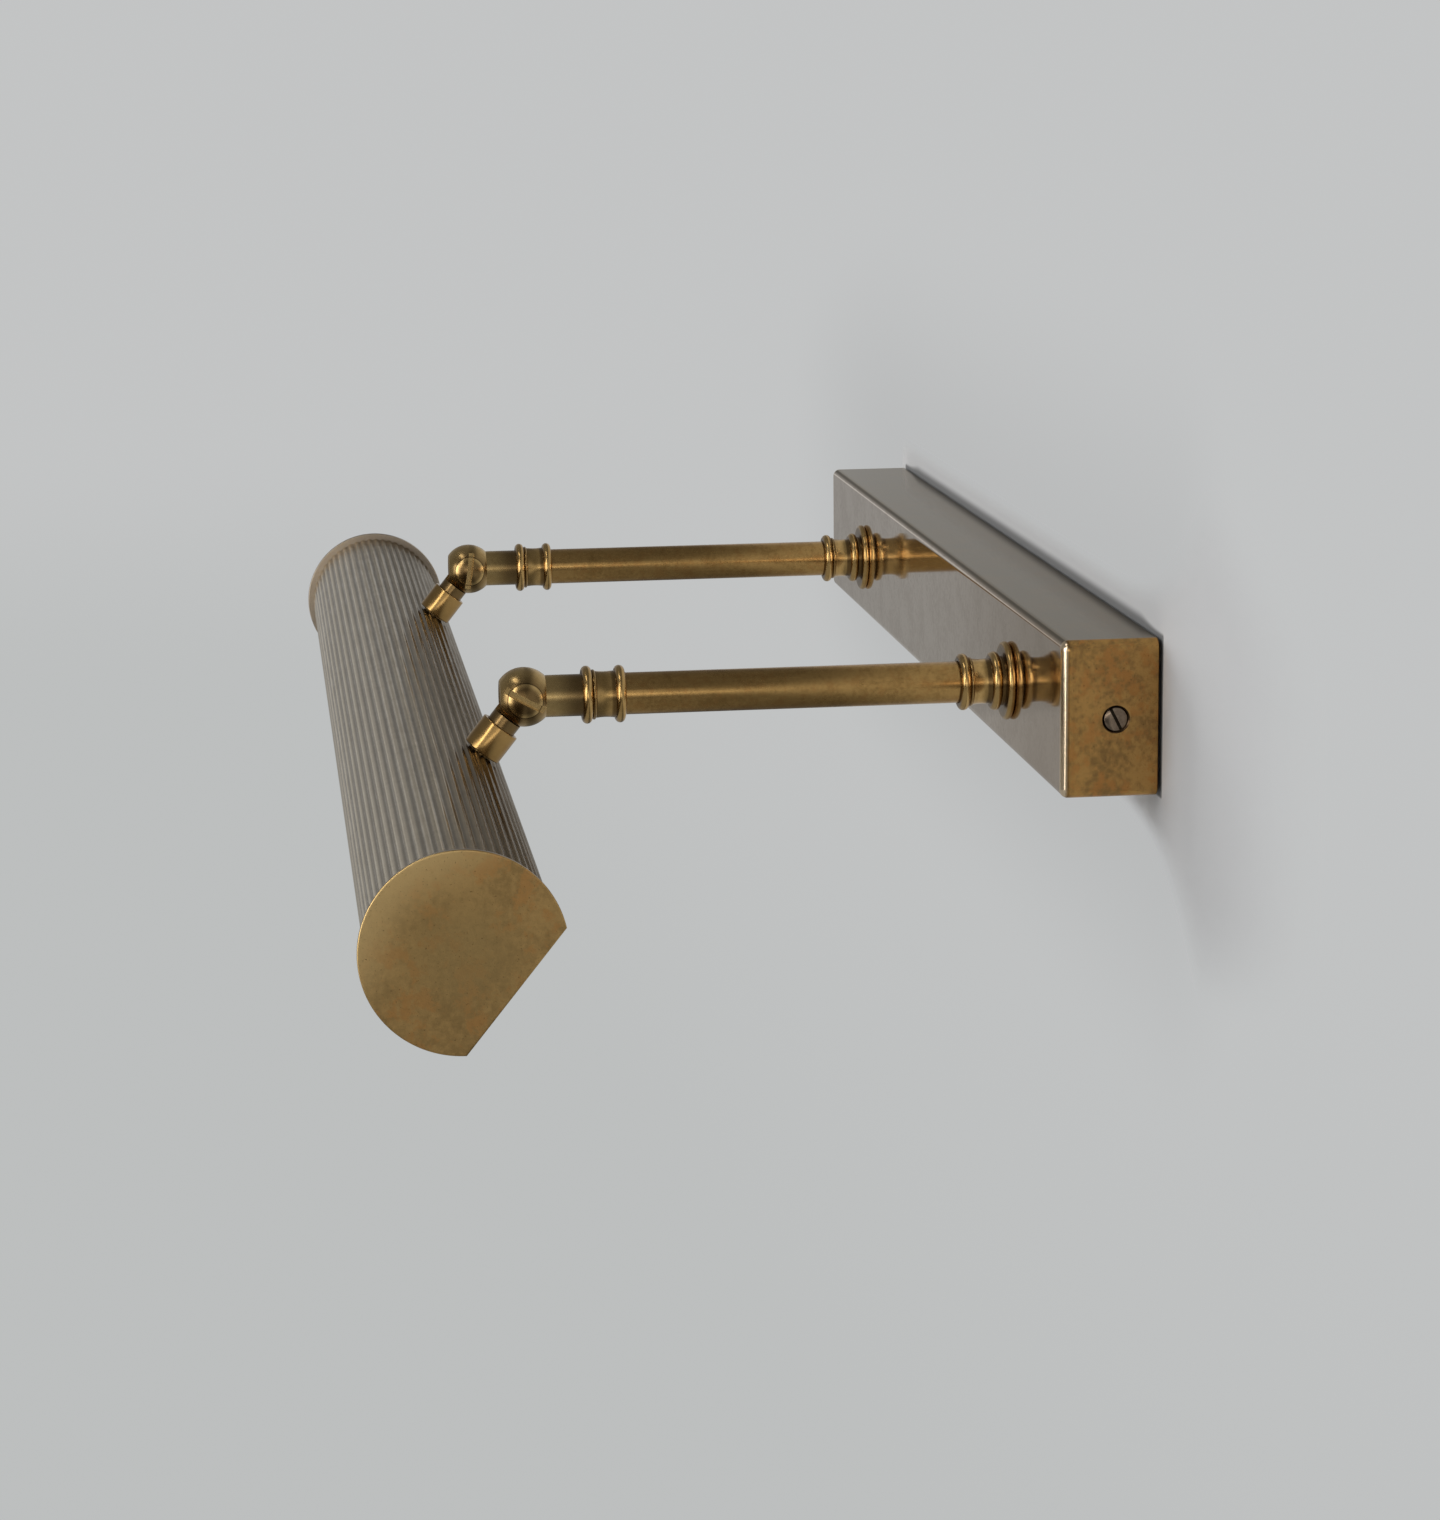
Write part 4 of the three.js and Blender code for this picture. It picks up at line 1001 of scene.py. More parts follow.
BOX = BoxBrass(
    "aged brass box", bright=(0.46, 0.260, 0.082), patina=(0.27, 0.155, 0.055),
    warm=(0.44, 0.205, 0.060), dirt=(0.06, 0.035, 0.018), cloud_scale=75.0,
    cloud_edges=(0.42, 0.60), roughness=(0.05, 0.09), grain=(1.0, 1.0, 0.06),
    grain_depth=0.003 * MM, warm_share=0.8)
SATIN = KnuckleBrass(
    "satin brass", bright=(0.60, 0.415, 0.175), patina=(0.50, 0.335, 0.135),
    warm=(0.52, 0.330, 0.130), dirt=(0.10, 0.055, 0.022), cloud_scale=110.0,
    cloud_edges=(0.42, 0.64), roughness=(0.25, 0.28), grain_depth=0.001 * MM,
    speck_share=0.15, glint_share=0.0, warm_share=0.3)
POLISHED = Brass(
    "rubbed brass", bright=(0.43, 0.265, 0.095), patina=(0.36, 0.215, 0.075),
    warm=(0.40, 0.220, 0.075), dirt=(0.14, 0.070, 0.025), cloud_scale=60.0,
    cloud_edges=(0.46, 0.70), roughness=(0.20, 0.21), grain_depth=0.0002 * MM,
    speck_share=0.05, glint_share=0.0, warm_share=0.2)
REEDED = ReededBrass(
    "reeded brass", bright=(0.56, 0.460, 0.310), patina=(0.45, 0.360, 0.235),
    warm=(0.48, 0.370, 0.240), dirt=(0.06, 0.042, 0.026), cloud_scale=45.0,
    cloud_edges=(0.40, 0.64), roughness=(0.18, 0.26), grain=(0.05, 1.0, 1.0),
    grain_depth=0.003 * MM, speck_share=0.25, glint_share=0.1, groove_share=0.7)
PLAIN = Brass(
    "turned brass", bright=(0.62, 0.460, 0.210), patina=(0.45, 0.310, 0.120),
    warm=(0.52, 0.340, 0.130), dirt=(0.20, 0.120, 0.050), cloud_scale=150.0,
    cloud_edges=(0.45, 0.70), roughness=(0.22, 0.32), speck_share=0.2)
NICKEL = ScrewNickel(
    "dulled nickel", (0.26, 0.195, 0.140), 0.14, metallic=1.0, shade=0.7, scale=600.0)
ZINC = Coating("zinc plate", (0.60, 0.61, 0.62), 0.34, metallic=1.0, shade=0.85)
PLASTIC = Coating("cream plastic", (0.76, 0.71, 0.58), 0.42)
RUBBER = Coating("black rubber", (0.02, 0.02, 0.02), 0.6)
ENAMEL = Coating("white enamel", (0.80, 0.79, 0.75), 0.3, shade=0.96)
PORCELAIN = Coating("porcelain", (0.83, 0.81, 0.76), 0.14, shade=0.97)
OPAL = Coating("opal glass", (0.86, 0.85, 0.81), 0.12, shade=0.98)


def outfit(piece: Piece, body: Body, material: Material, node: str) -> None:
    """Dresses a new piece and puts it in the place of its part.

    Args:
        piece: The new piece.
        body: The body it moves with.
        material: Its finish.
        node: The part that it stands for.
    """
    piece.data.materials.clear()
    piece.data.materials.append(material)
    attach(piece, body.value)
    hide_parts(node)
    log.info("%s stands for %s", piece.name, node)


def repaint(node: str, material: Material) -> None:
    """Gives a part that keeps its own shape a better finish."""
    frame["nodes"][node].material_slots[0].material = material
    log.info("%s keeps its shape", node)


@dataclass
class WallBox:
    """The folded cover on the wall, with its end screws and what stands behind it."""

    corner_radius: float = 2.8 * MM
    front_radius: float = 2.4 * MM
    wall: float = 1.5 * MM
    rim_ease: float = 0.3 * MM
    support: float = 0.25 * MM
    arc_steps: int = 10
    crisp_degrees: float = 40.0
    screw_from_front: float = 15.8 * MM
    screw_head: float = 3.4 * MM
    screw_cone: float = 1.4 * MM
    screw_shank: float = 2.0 * MM
    screw_length: float = 12.0 * MM
    screw_sink: float = 3.9 * MM
    screw_bore: float = 2.3 * MM
    screw_crown: float = 0.5 * MM
    crown_points: int = 12
    screw_slot: float = 0.9 * MM
    screw_edge: float = 0.08 * MM
    slot_depth: float = 0.8 * MM
    seat_gap: float = 0.3 * MM
    slot_degrees: float = -63.0

    def __post_init__(self) -> None:
        """Reads the cover's place from the frame."""
        low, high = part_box("box_cover")
        self.half_length = high.x
        self.half_height = high.z
        self.front = low.y
        self.back = high.y

    def outlines(self, inset: Points) -> tuple[Points, Points]:
        """Rounded rectangles moved inwards.

        Each corner is a quarter circle whose radius is the corner radius less the inset, and
        never below zero, round a centre that lies in from both sides by the larger of the
        two. One more point stands on the flat on either side of each arc.

        Args:
            inset: How far in each outline lies.

        Returns:
            X and Z of the outlines, one row for each inset.
        """
        quarter = np.linspace(0.0, QUARTER, self.arc_steps + 1)
        one = np.concatenate([quarter[:1], quarter, quarter[-1:]])
        turn = one + np.arange(4)[:, None] * QUARTER
        slide = np.zeros_like(turn)
        slide[:, 0], slide[:, -1] = -self.support, self.support
        side_x = np.array([1, -1, -1, 1])[:, None]
        side_z = np.array([1, 1, -1, -1])[:, None]
        deep = inset[:, None, None]
        radius = np.maximum(self.corner_radius - deep, 0.0)
        centre = np.maximum(self.corner_radius, deep)
        cosine, sine = np.cos(turn), np.sin(turn)
        x = side_x * (self.half_length - centre) + radius * cosine - slide * sine
        z = side_z * (self.half_height - centre) + radius * sine + slide * cosine
        return x.reshape(inset.size, -1), z.reshape(inset.size, -1)

    def cover(self) -> Piece:
        """The shell, with the sinks for its end screws.

        Its outline goes up the inside, over the rim at the wall, along the outside, round
        the front edge by a quarter circle and across the front.

        Returns:
            The cover.
        """
        turn = np.linspace(0.0, QUARTER, self.arc_steps + 1)
        inset = np.concatenate([
            [self.wall + self.support, self.wall, self.wall, self.rim_ease, 0.0, 0.0],
            self.front_radius * (1 - np.cos(turn)), [self.front_radius + self.support]])
        y = np.concatenate([
            [self.front + self.wall, self.front + self.wall, self.back, self.back,
             self.back - self.rim_ease, self.front + self.front_radius + self.support],
            self.front + self.front_radius * (1 - np.sin(turn)), [self.front]])
        x, z = self.outlines(inset)
        points = np.stack([x, np.broadcast_to(y[:, None], x.shape), z], axis=-1)
        cover = surface("wall_box", points, lids=True, sharp_degrees=self.crisp_degrees)
        for side in Side:
            carve(cover, self.sink(side), Cut.TAKE)
        smooth(cover, self.crisp_degrees)
        return cover

    def screw_seat(self, side: Side) -> Seat:
        """The end wall's outside at a cover screw, looking out of the box."""
        place = (side.value * self.half_length, self.front + self.screw_from_front, 0.0)
        return Seat(place, (float(side.value), 0.0, 0.0), (0.0, float(side.value), 0.0))

    def sink(self, side: Side) -> Piece:
        """The countersunk hole as a tool: a bore that widens to the outside.

        Args:
            side: The end of the box.

        Returns:
            The tool.
        """
        wide = self.screw_sink + EDGE_EASE
        profile = corners(
            (0, -2 * self.wall), (self.screw_bore, -2 * self.wall), (self.screw_bore, -self.wall),
            (self.screw_sink, -EDGE_EASE), (wide, 0), (wide, self.wall), (0, self.wall))
        return turned("sink", profile, self.screw_seat(side), SCREW_STEPS, ease=0.0)

    def screw(self, side: Side) -> Piece:
        """A cover screw: shank, cone and a low domed head with a slot.

        The dome's radius is the head's times the cosine of the turn, and its height the
        crown's times the sine.

        Args:
            side: The end of the box.

        Returns:
            The screw.
        """
        head = -self.seat_gap
        shank, end = self.screw_shank, -self.screw_length
        turn = np.linspace(0.0, QUARTER, self.crown_points)[1:]
        dome = [self.screw_head * np.cos(turn), head + self.screw_crown * np.sin(turn)]
        profile = np.concatenate([
            corners((0, end), (shank, end), (shank, head - self.screw_cone)),
            corners((self.screw_head, head)), np.stack(dome, axis=1)])
        seat = self.screw_seat(side)
        name = f"end_screw_{side.word}"
        screw = turned(name, profile, seat, SCREW_STEPS, self.screw_edge)
        reach, half = 2 * self.screw_head, self.screw_slot / 2
        floor = head + self.screw_crown - self.slot_depth
        slot_seat = seat.tilted(self.slot_degrees)
        slot = block("slot", slot_seat, (-reach, reach), (floor, reach), (-half, half))
        carve(screw, slot, Cut.TAKE)
        rounded_edges(screw, self.screw_edge)
        return screw

    def build(self) -> None:
        """Makes the cover and its screws and repaints what stands behind them."""
        outfit(self.cover(), Body.WALL_UNIT, BOX.material(), "box_cover")
        nickel, zinc, plain = NICKEL.material(), ZINC.material(), PLAIN.material()
        for side in Side:
            word = side.word
            outfit(self.screw(side), Body.WALL_UNIT, nickel, f"cover_screw_{word}")
            for node, material in (
                ("cover_nut", zinc), ("lock_washer", zinc), ("lock_nut", plain), ("nipple", plain)
            ):
                repaint(f"{node}_{word}", material)
        repaint("wall_bracket", zinc)
        repaint("earth_screw", plain)
        repaint("terminal_block", PLASTIC.material())
        repaint("cable_grommet", RUBBER.material())


@dataclass
class Arm:
    """One arm: wall collar, tube, knuckle collar, and the arm's side of the knuckle.

    The wall collar is measured from the box, and the knuckle collar back from the ball.
    """

    side: Side
    finish: Material
    tube_finish: Material
    knuckle_finish: Material
    tube_radius: float = 6.35 * MM
    tube_wall: float = 1.0 * MM
    flange_radius: float = 12.0 * MM
    flange_half: float = 1.1 * MM
    step_radius: float = 7.6 * MM
    bead_half: float = 1.5 * MM
    wall_bead: Span = (4.7 * MM, 9.0 * MM)
    outer_bead: Span = (14.4 * MM, 8.7 * MM)
    near_bead: Span = (18.9 * MM, 8.75 * MM)
    far_bead: Span = (28.9 * MM, 8.7 * MM)
    fillet_half: float = 0.55 * MM
    fillet_steps: int = 10
    cove_edge: float = 7.1 * MM
    wall_waist: float = 6.8 * MM
    knuckle_waist: float = 6.9 * MM
    spigot_step: float = 1.2 * MM
    spigot_from_end: float = 3.0 * MM
    neck_start: float = 5.0 * MM
    spigot_length: float = 4.0 * MM
    spigot_inset: float = 1.3 * MM
    ball_edge: float = 0.12 * MM
    head_radius: float = 5.3 * MM
    head_seat: float = 3.4 * MM
    head_ease: float = 0.12 * MM
    head_edge: float = 0.1 * MM
    shank_radius: float = 2.0 * MM
    shank_end: float = -6.6 * MM
    slot_width: float = 2.0 * MM
    slot_floor: float = 6.0 * MM
    left_slot_degrees: float = -98.0
    right_slot_degrees: float = -29.0

    def __post_init__(self) -> None:
        """Reads the arm's axis, the box's front and the ball's centre from the frame."""
        low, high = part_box(f"arm_tube_{self.side.word}")
        self.x, self.z = (low.x + high.x) / 2, (low.z + high.z) / 2
        self.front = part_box("box_cover")[0].y
        self.pivot_y = frame["joints"][0]["pos_m"][1]
        self.reach = self.front - self.pivot_y
        self.tube_span = (self.front - high.y, self.front - low.y)
        self.bore = self.tube_radius + EDGE_EASE
        self.neck_end = self.near_bead[0] - self.bead_half

    @property
    def seat(self) -> Seat:
        """The front of the box, looking out along the arm."""
        return Seat((self.x, self.front, self.z), (0.0, -1.0, 0.0), (1.0, 0.0, 0.0))

    @property
    def ball_seat(self) -> Seat:
        """The ball's centre, looking along the pivot."""
        return Seat((self.x, self.pivot_y, self.z), (1.0, 0.0, 0.0), (0.0, 1.0, 0.0))

    def wall_collar(self) -> Piece:
        """Flange, step, bead, cove, fillet and bead, one after the other along the arm.

        Returns:
            The collar.
        """
        bead_start = self.wall_bead[0] - self.bead_half
        bead_end = self.wall_bead[0] + self.bead_half
        fillet_at = self.outer_bead[0] - self.bead_half - self.fillet_half
        profile = np.concatenate([
            corners((self.bore, 0), (self.flange_radius - self.flange_half, 0)),
            bead(self.flange_half, self.flange_radius, self.flange_half),
            corners((self.step_radius, 2 * self.flange_half), (self.step_radius, bead_start)),
            bead(*self.wall_bead, self.bead_half),
            cove(bead_end, fillet_at - self.fillet_half, self.cove_edge, self.wall_waist),
            bead(fillet_at, self.step_radius, self.fillet_half, self.fillet_steps),
            bead(*self.outer_bead, self.bead_half),
            corners((self.bore, self.outer_bead[0] + self.bead_half))])
        return turned(f"collar_at_wall_{self.side.word}", profile, self.seat)

    def tube(self) -> Piece:
        """The arm's tube: two circles, joined at both ends.

        Returns:
            The tube.
        """
        start, end = self.tube_span
        inside, outside = self.tube_radius - self.tube_wall, self.tube_radius
        profile = corners((inside, start), (outside, start), (outside, end), (inside, end))
        return turned(f"straight_tube_{self.side.word}", profile, self.seat)

    def knuckle_collar(self) -> Piece:
        """Bead, fillet, cove and bead, one after the other back from the ball.

        Returns:
            The collar.
        """
        fillet_at = self.near_bead[0] + self.bead_half + self.fillet_half
        cove_end = self.far_bead[0] - self.bead_half
        end = self.far_bead[0] + self.bead_half
        narrow, step = self.bore - self.spigot_step, end - self.spigot_from_end
        profile = np.concatenate([
            corners((narrow, self.neck_end)),
            bead(*self.near_bead, self.bead_half),
            bead(fillet_at, self.step_radius, self.fillet_half, self.fillet_steps),
            cove(fillet_at + self.fillet_half, cove_end, self.cove_edge, self.knuckle_waist),
            bead(*self.far_bead, self.bead_half),
            corners((self.bore, end), (self.bore, step), (narrow, step))])
        profile[:, 1] = self.reach - profile[:, 1]
        return turned(f"collar_at_knuckle_{self.side.word}", profile, self.seat)

    def neck(self) -> Piece:
        """The neck between ball and collar, and the spigot inside the collar.

        Returns:
            The neck, as a tool.
        """
        radius, narrow = self.tube_radius, self.tube_radius - self.spigot_inset
        tip = self.neck_end + self.spigot_length
        profile = corners(
            (0, self.neck_start), (radius, self.neck_start), (radius, self.neck_end),
            (narrow, self.neck_end), (narrow, tip), (0, tip))
        neck_seat = Seat(self.ball_seat.origin, (0.0, 1.0, 0.0), (1.0, 0.0, 0.0))
        neck = turned("neck", profile, neck_seat, ease=0.0)
        BALL.clear_of_other(neck, self.ball_seat)
        return neck

    def half_ball(self) -> Piece:
        """The arm's half of the ball, with its neck, flat front, head bore and slot.

        Its outline is the ball's circle, from the rim of the head's bore round to the
        parting face.

        Returns:
            The half ball.
        """
        gap = EDGE_EASE / 2
        bore, floor = self.head_radius + gap, self.head_seat - gap
        profile = np.concatenate([
            corners((0, BALL.parting), (0, floor), (bore, floor)),
            arc(BALL.radius, math.asin(bore / BALL.radius), BALL.last_angle, BALL_POINTS)])
        name = f"half_ball_of_arm_{self.side.word}"
        ball = turned(name, profile, self.ball_seat, FINE_STEPS, ease=0.0)
        carve(ball, self.neck(), Cut.JOIN)
        BALL.flatten_front(ball, self.ball_seat)
        carve(ball, self.slot_tool(), Cut.TAKE)
        rounded_edges(ball, self.ball_edge)
        return ball

    def slot_tool(self) -> Piece:
        """The saw cut across head and ball.

        Returns:
            The cut, as a tool.
        """
        left = self.side is Side.LEFT
        seat = self.ball_seat.tilted(self.left_slot_degrees if left else self.right_slot_degrees)
        far, half = 2 * BALL.radius, self.slot_width / 2
        return block("slot", seat, (-far, far), (self.slot_floor, far), (-half, half))

    def clamp_screw(self) -> Piece:
        """The clamp screw, whose head ends in the ball's own round.

        Returns:
            The screw.
        """
        shank, end = self.shank_radius, self.shank_end
        profile = np.concatenate([
            corners((0, end), (shank, end), (shank, self.head_seat)),
            corners((self.head_radius, self.head_seat)),
            arc(BALL.radius, 0.0, math.asin(self.head_radius / BALL.radius), HEAD_POINTS)[::-1]])
        name = f"slotted_screw_{self.side.word}"
        screw = turned(name, profile, self.ball_seat, ease=self.head_ease)
        carve(screw, self.slot_tool(), Cut.TAKE)
        rounded_edges(screw, self.head_edge)
        return screw

    def build(self) -> None:
        """Makes the arm's pieces."""
        for piece, finish, node in (
            (self.wall_collar(), self.finish, "wall_collar"),
            (self.tube(), self.tube_finish, "arm_tube"),
            (self.knuckle_collar(), self.finish, "knuckle_collar"),
            (self.half_ball(), self.knuckle_finish, "arm_knuckle"),
            (self.clamp_screw(), self.knuckle_finish, "clamp_screw"),
        ):
            outfit(piece, Body.WALL_UNIT, finish, f"{node}_{self.side.word}")


@dataclass
class Bulb:
    """One lamp at an end of the shade: the glass and the holder that it stands in."""

    side: Side
    seat: Seat
    seat_gap: float
    glass_radius: float = 12.5 * MM
    glass_wall: float = 1.0 * MM
    glass_neck: float = 6.2 * MM
    glass_shoulder: float = 9.0 * MM
    glass_ease: float = 0.8 * MM
    tip_points: int = 24
    cup_radius: float = 11.5 * MM
    ring_radius: float = 12.5 * MM
    ring_width: float = 6.0 * MM
    holder_bore: float = 7.3 * MM
    nose_radius: float = 4.0 * MM
    bracket_wall: float = 1.2 * MM
    cup_floor: float = 5.0 * MM
    holder_ease: float = 0.5 * MM

    def reach(self, node: str) -> list[float]:
        """How far from the light's middle a part starts and ends."""
        return sorted(abs(corner.x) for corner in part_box(f"{node}_{self.side.word}"))

    def glass_side(self, inset: float) -> Points:
        """One side of the glass's wall: neck, shoulder, straight tube and round tip.

        On the tip, the radius is the tube's times the cosine of the turn, and the distance
        along falls from the tube's end by the tube's radius times the sine.

        Args:
            inset: How far inside the outer side it lies.

        Returns:
            Rows of radius and distance along.
        """
        tip, foot = self.reach("lamp_glass")
        mouth = self.reach("lamp_holder")[0] - self.seat_gap
        neck, radius = self.glass_neck - inset, self.glass_radius - inset
        turn = np.linspace(0.0, QUARTER, self.tip_points)
        dome = [radius * np.cos(turn), tip + self.glass_radius - radius * np.sin(turn)]
        return np.concatenate([
            corners((neck, foot), (neck, mouth), (radius, mouth - self.glass_shoulder)),
            np.stack(dome, axis=1)])

    def glass(self) -> Piece:
        """The glass: up its outer side and back along its inner one.

        Returns:
            The glass.
        """
        inner = self.glass_side(self.glass_wall)
        profile = np.concatenate([self.glass_side(0.0), inner[::-1]])
        return turned(f"glass_{self.side.word}", profile, self.seat, ease=self.glass_ease)

    def holder(self) -> Piece:
        """The holder: mouth ring, cup, and the nose that goes through its bracket.

        Returns:
            The holder.
        """
        mouth, nose = self.reach("lamp_holder")
        back = self.reach("holder_bracket")[1] - self.bracket_wall - self.seat_gap
        ring_end, floor = mouth + self.ring_width, back - self.cup_floor
        inside = self.nose_radius / 2
        profile = corners(
            (self.holder_bore, mouth), (self.ring_radius, mouth), (self.ring_radius, ring_end),
            (self.cup_radius, ring_end), (self.cup_radius, back), (self.nose_radius, back),
            (self.nose_radius, nose), (inside, nose), (inside, floor), (self.holder_bore, floor))
        return turned(f"holder_{self.side.word}", profile, self.seat, ease=self.holder_ease)

    def build(self, opal: Material, porcelain: Material) -> None:
        """Makes the glass and the holder.

        Args:
            opal: The glass's finish.
            porcelain: The holder's finish.
        """
        word = self.side.word
        outfit(self.glass(), Body.SHADE, opal, f"lamp_glass_{word}")
        outfit(self.holder(), Body.SHADE, porcelain, f"lamp_holder_{word}")


@dataclass
class Shade:
    """Everything that tilts: stubs, ferrules, reeded tube, caps, reflector and lamps."""

    bend_degrees: float = 51.1
    drop: float = 46.5 * MM
    radius: float = 25.4 * MM
    wall: float = 1.0 * MM
    reeds: int = 42
    reed_depth: float = 0.55 * MM
    reed_steps: int = 14
    mouth_from_axis: float = 17.0 * MM
    cap_radius: float = 27.5 * MM
    cap_mouth: float = 17.4 * MM
    cap_thickness: float = 1.5 * MM
    cap_edge: float = 0.35 * MM
    cap_rim_depth: float = 4.0 * MM
    cap_edge_points: int = 7
    cap_crisp_degrees: float = 30.0
    seat_gap: float = 0.3 * MM
    stub_radius: float = 4.7 * MM
    stub_start: float = 4.0 * MM
    stub_shoulder: float = 14.0 * MM
    stub_edge: float = 0.1 * MM
    tail_radius: float = 4.0 * MM
    tail_end: float = 29.9 * MM
    ferrule_radius: float = 6.1 * MM
    ferrule_start: float = 11.3 * MM
    ferrule_ease: float = 0.3 * MM
    reflector_wall: float = 0.7 * MM
    reflector_sweep: float = 114.0
    lamp_lift: float = 2.0 * MM
    arc_steps: int = 120

    def __post_init__(self) -> None:
        """Reads the pivot and the lengths from the frame."""
        self.pivot = tuple(frame["joints"][0]["pos_m"])
        bend = math.radians(self.bend_degrees)
        self.out = (0.0, -math.cos(bend), -math.sin(bend))
        self.mouth = (0.0, math.sin(bend), -math.cos(bend))
        self.half_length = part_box("end_cap_right")[1].x
        self.tube_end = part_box("shade_tube")[1].x
        self.reflector_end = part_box("reflector")[1].x
        low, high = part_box("arm_tube_right")
        self.arm_x = (low.x + high.x) / 2
        self.groove_radius = self.radius - self.reed_depth
        self.inside = self.groove_radius - self.wall

    @property
    def seat(self) -> Seat:
        """The pivot, looking out to the shade's axis; the third direction is the mouth's."""
        return Seat(self.pivot, self.out, (1.0, 0.0, 0.0))

    def stub_seat(self, side: Side) -> Seat:
        """The ball's centre, looking out along the stub."""
        return Seat((side.value * self.arm_x, *self.pivot[1:]), self.out, (1.0, 0.0, 0.0))

    def lamp_seat(self, side: Side) -> Seat:
        """The lamps' axis, a little nearer the crown than the shade's.

        Args:
            side: The end of the shade that it looks to.

        Returns:
            A place in the middle of the light.
        """
        axis = np.asarray(self.pivot) + self.drop * np.asarray(self.out)
        place = axis - self.lamp_lift * np.asarray(self.mouth)
        return Seat((0.0, *place[1:].tolist()), (float(side.value), 0.0, 0.0), self.out)

    def ring_points(self, radius: Points, angle: Points) -> Points:
        """Points at the drop less radius times sine out, and minus radius times cosine down.

        Out is along the stub and down is towards the mouth; angles count from the crown.
        """
        return np.stack([self.drop - radius * np.sin(angle), -radius * np.cos(angle)], axis=-1)

    def mouth_angle(self, radius: Points | float, from_axis: Points | float) -> Points:
        """The angle from the crown at which a circle meets the mouth."""
        return math.pi - np.arccos(from_axis / radius)

    def band(self, outside: float, inside: float, sweep: float) -> Points:
        """A ring wall that is open at the mouth: out along one circle, back along the other.

        Args:
            outside: Radius of the outer circle.
            inside: Radius of the inner circle.
            sweep: Angle from the crown at which it ends on either side.

        Returns:
            Rows of distance along the stub and towards the mouth.
        """
        angle = np.linspace(-sweep, sweep, self.arc_steps)
        outer = self.ring_points(np.full_like(angle, outside), angle)
        inner = self.ring_points(np.full_like(angle, inside), angle[::-1])
        return np.concatenate([outer, inner])

    def tube(self) -> Piece:
        """The reeded tube.

        Round the crown the radius is the groove radius plus, for each reed, the reed depth
        times half of one less the cosine of the full turns made across the reed.

        Returns:
            The tube.
        """
        sweep = self.mouth_angle(self.radius, self.mouth_from_axis)
        passed = np.arange(self.reeds * self.reed_steps + 1) / self.reed_steps
        angle = -sweep + 2 * sweep * passed / self.reeds
        rise = (1 - np.cos(2 * math.pi * passed)) / 2
        outer = self.ring_points(self.groove_radius + self.reed_depth * rise, angle)
        inner_sweep = self.mouth_angle(self.inside, self.mouth_from_axis)
        inner_angle = np.linspace(inner_sweep, -inner_sweep, self.arc_steps)
        inner = self.ring_points(np.full_like(inner_angle, self.inside), inner_angle)
        groove = np.concatenate([1 - rise, np.zeros(self.arc_steps)])
        outline, end = np.concatenate([outer, inner]), self.tube_end
        return prism("reeded_tube", outline, -end, end, self.seat, groove)

    def cap(self, side: Side) -> Piece:
        """An end cap: a flat plate cut along the mouth, and a rim inside the tube.

        The plate's outline is the cap's circle up to the mouth and a straight line back. Its
        edge is rounded by quarter circles that move the circle and the line inwards alike.

        Args:
            side: The end of the shade.

        Returns:
            The cap.
        """
        turn = np.linspace(0.0, QUARTER, self.cap_edge_points)
        edge, face = self.cap_edge, self.half_length
        back = face - self.cap_thickness
        rising, falling = edge * (1 - np.cos(turn)), edge * (1 - np.sin(turn))
        inset = np.concatenate([[2 * edge], falling, rising, [2 * edge]])
        x = np.concatenate([[back], back + rising, face - falling, [face]])
        radius = self.cap_radius - inset
        sweep = self.mouth_angle(radius, self.cap_mouth - inset)
        angle = sweep[:, None] * np.linspace(-1.0, 1.0, self.arc_steps)[None, :]
        section = self.ring_points(radius[:, None], angle)
        points = self.seat.put(side.value * x[:, None], section[..., 0], section[..., 1])
        crisp = self.cap_crisp_degrees
        plate = surface(f"flat_cap_{side.word}", points, lids=True, sharp_degrees=crisp)
        outside = self.inside - self.seat_gap
        sweep_of_rim = self.mouth_angle(outside, self.mouth_from_axis)
        rim = self.band(outside, outside - self.wall, sweep_of_rim)
        span = sorted((side.value * (back - self.cap_rim_depth), side.value * (back + edge)))
        carve(plate, prism("rim", rim, *span, self.seat), Cut.JOIN)
        smooth(plate, crisp)
        return plate

    def stub(self, side: Side) -> Piece:
        """The shade's half of the ball with its neck and threaded tail.

        Its outline is the ball's circle, from the pivot's axis round to the parting face.

        Args:
            side: The side of the light.

        Returns:
            The stub.
        """
        centre, sideways = self.stub_seat(side).origin, (0.0, 1.0, 0.0)
        seat = Seat(centre, (-1.0, 0.0, 0.0), sideways)
        profile = np.concatenate([
            corners((0, BALL.parting)), arc(BALL.radius, 0.0, BALL.last_angle, STUB_POINTS)])
        ball = turned(f"half_ball_of_shade_{side.word}", profile, seat, FINE_STEPS, ease=0.0)
        thick, thin = self.stub_radius, self.tail_radius
        start, shoulder, end = self.stub_start, self.stub_shoulder, self.tail_end
        neck_profile = corners(
            (0, start), (thick, start), (thick, shoulder), (thin, shoulder), (thin, end), (0, end))
        neck = turned("neck", neck_profile, self.stub_seat(side), ease=0.0)
        BALL.clear_of_other(neck, seat)
        BALL.flatten_front(ball, Seat(centre, (1.0, 0.0, 0.0), sideways))
        carve(ball, neck, Cut.JOIN)
        rounded_edges(ball, self.stub_edge)
        return ball

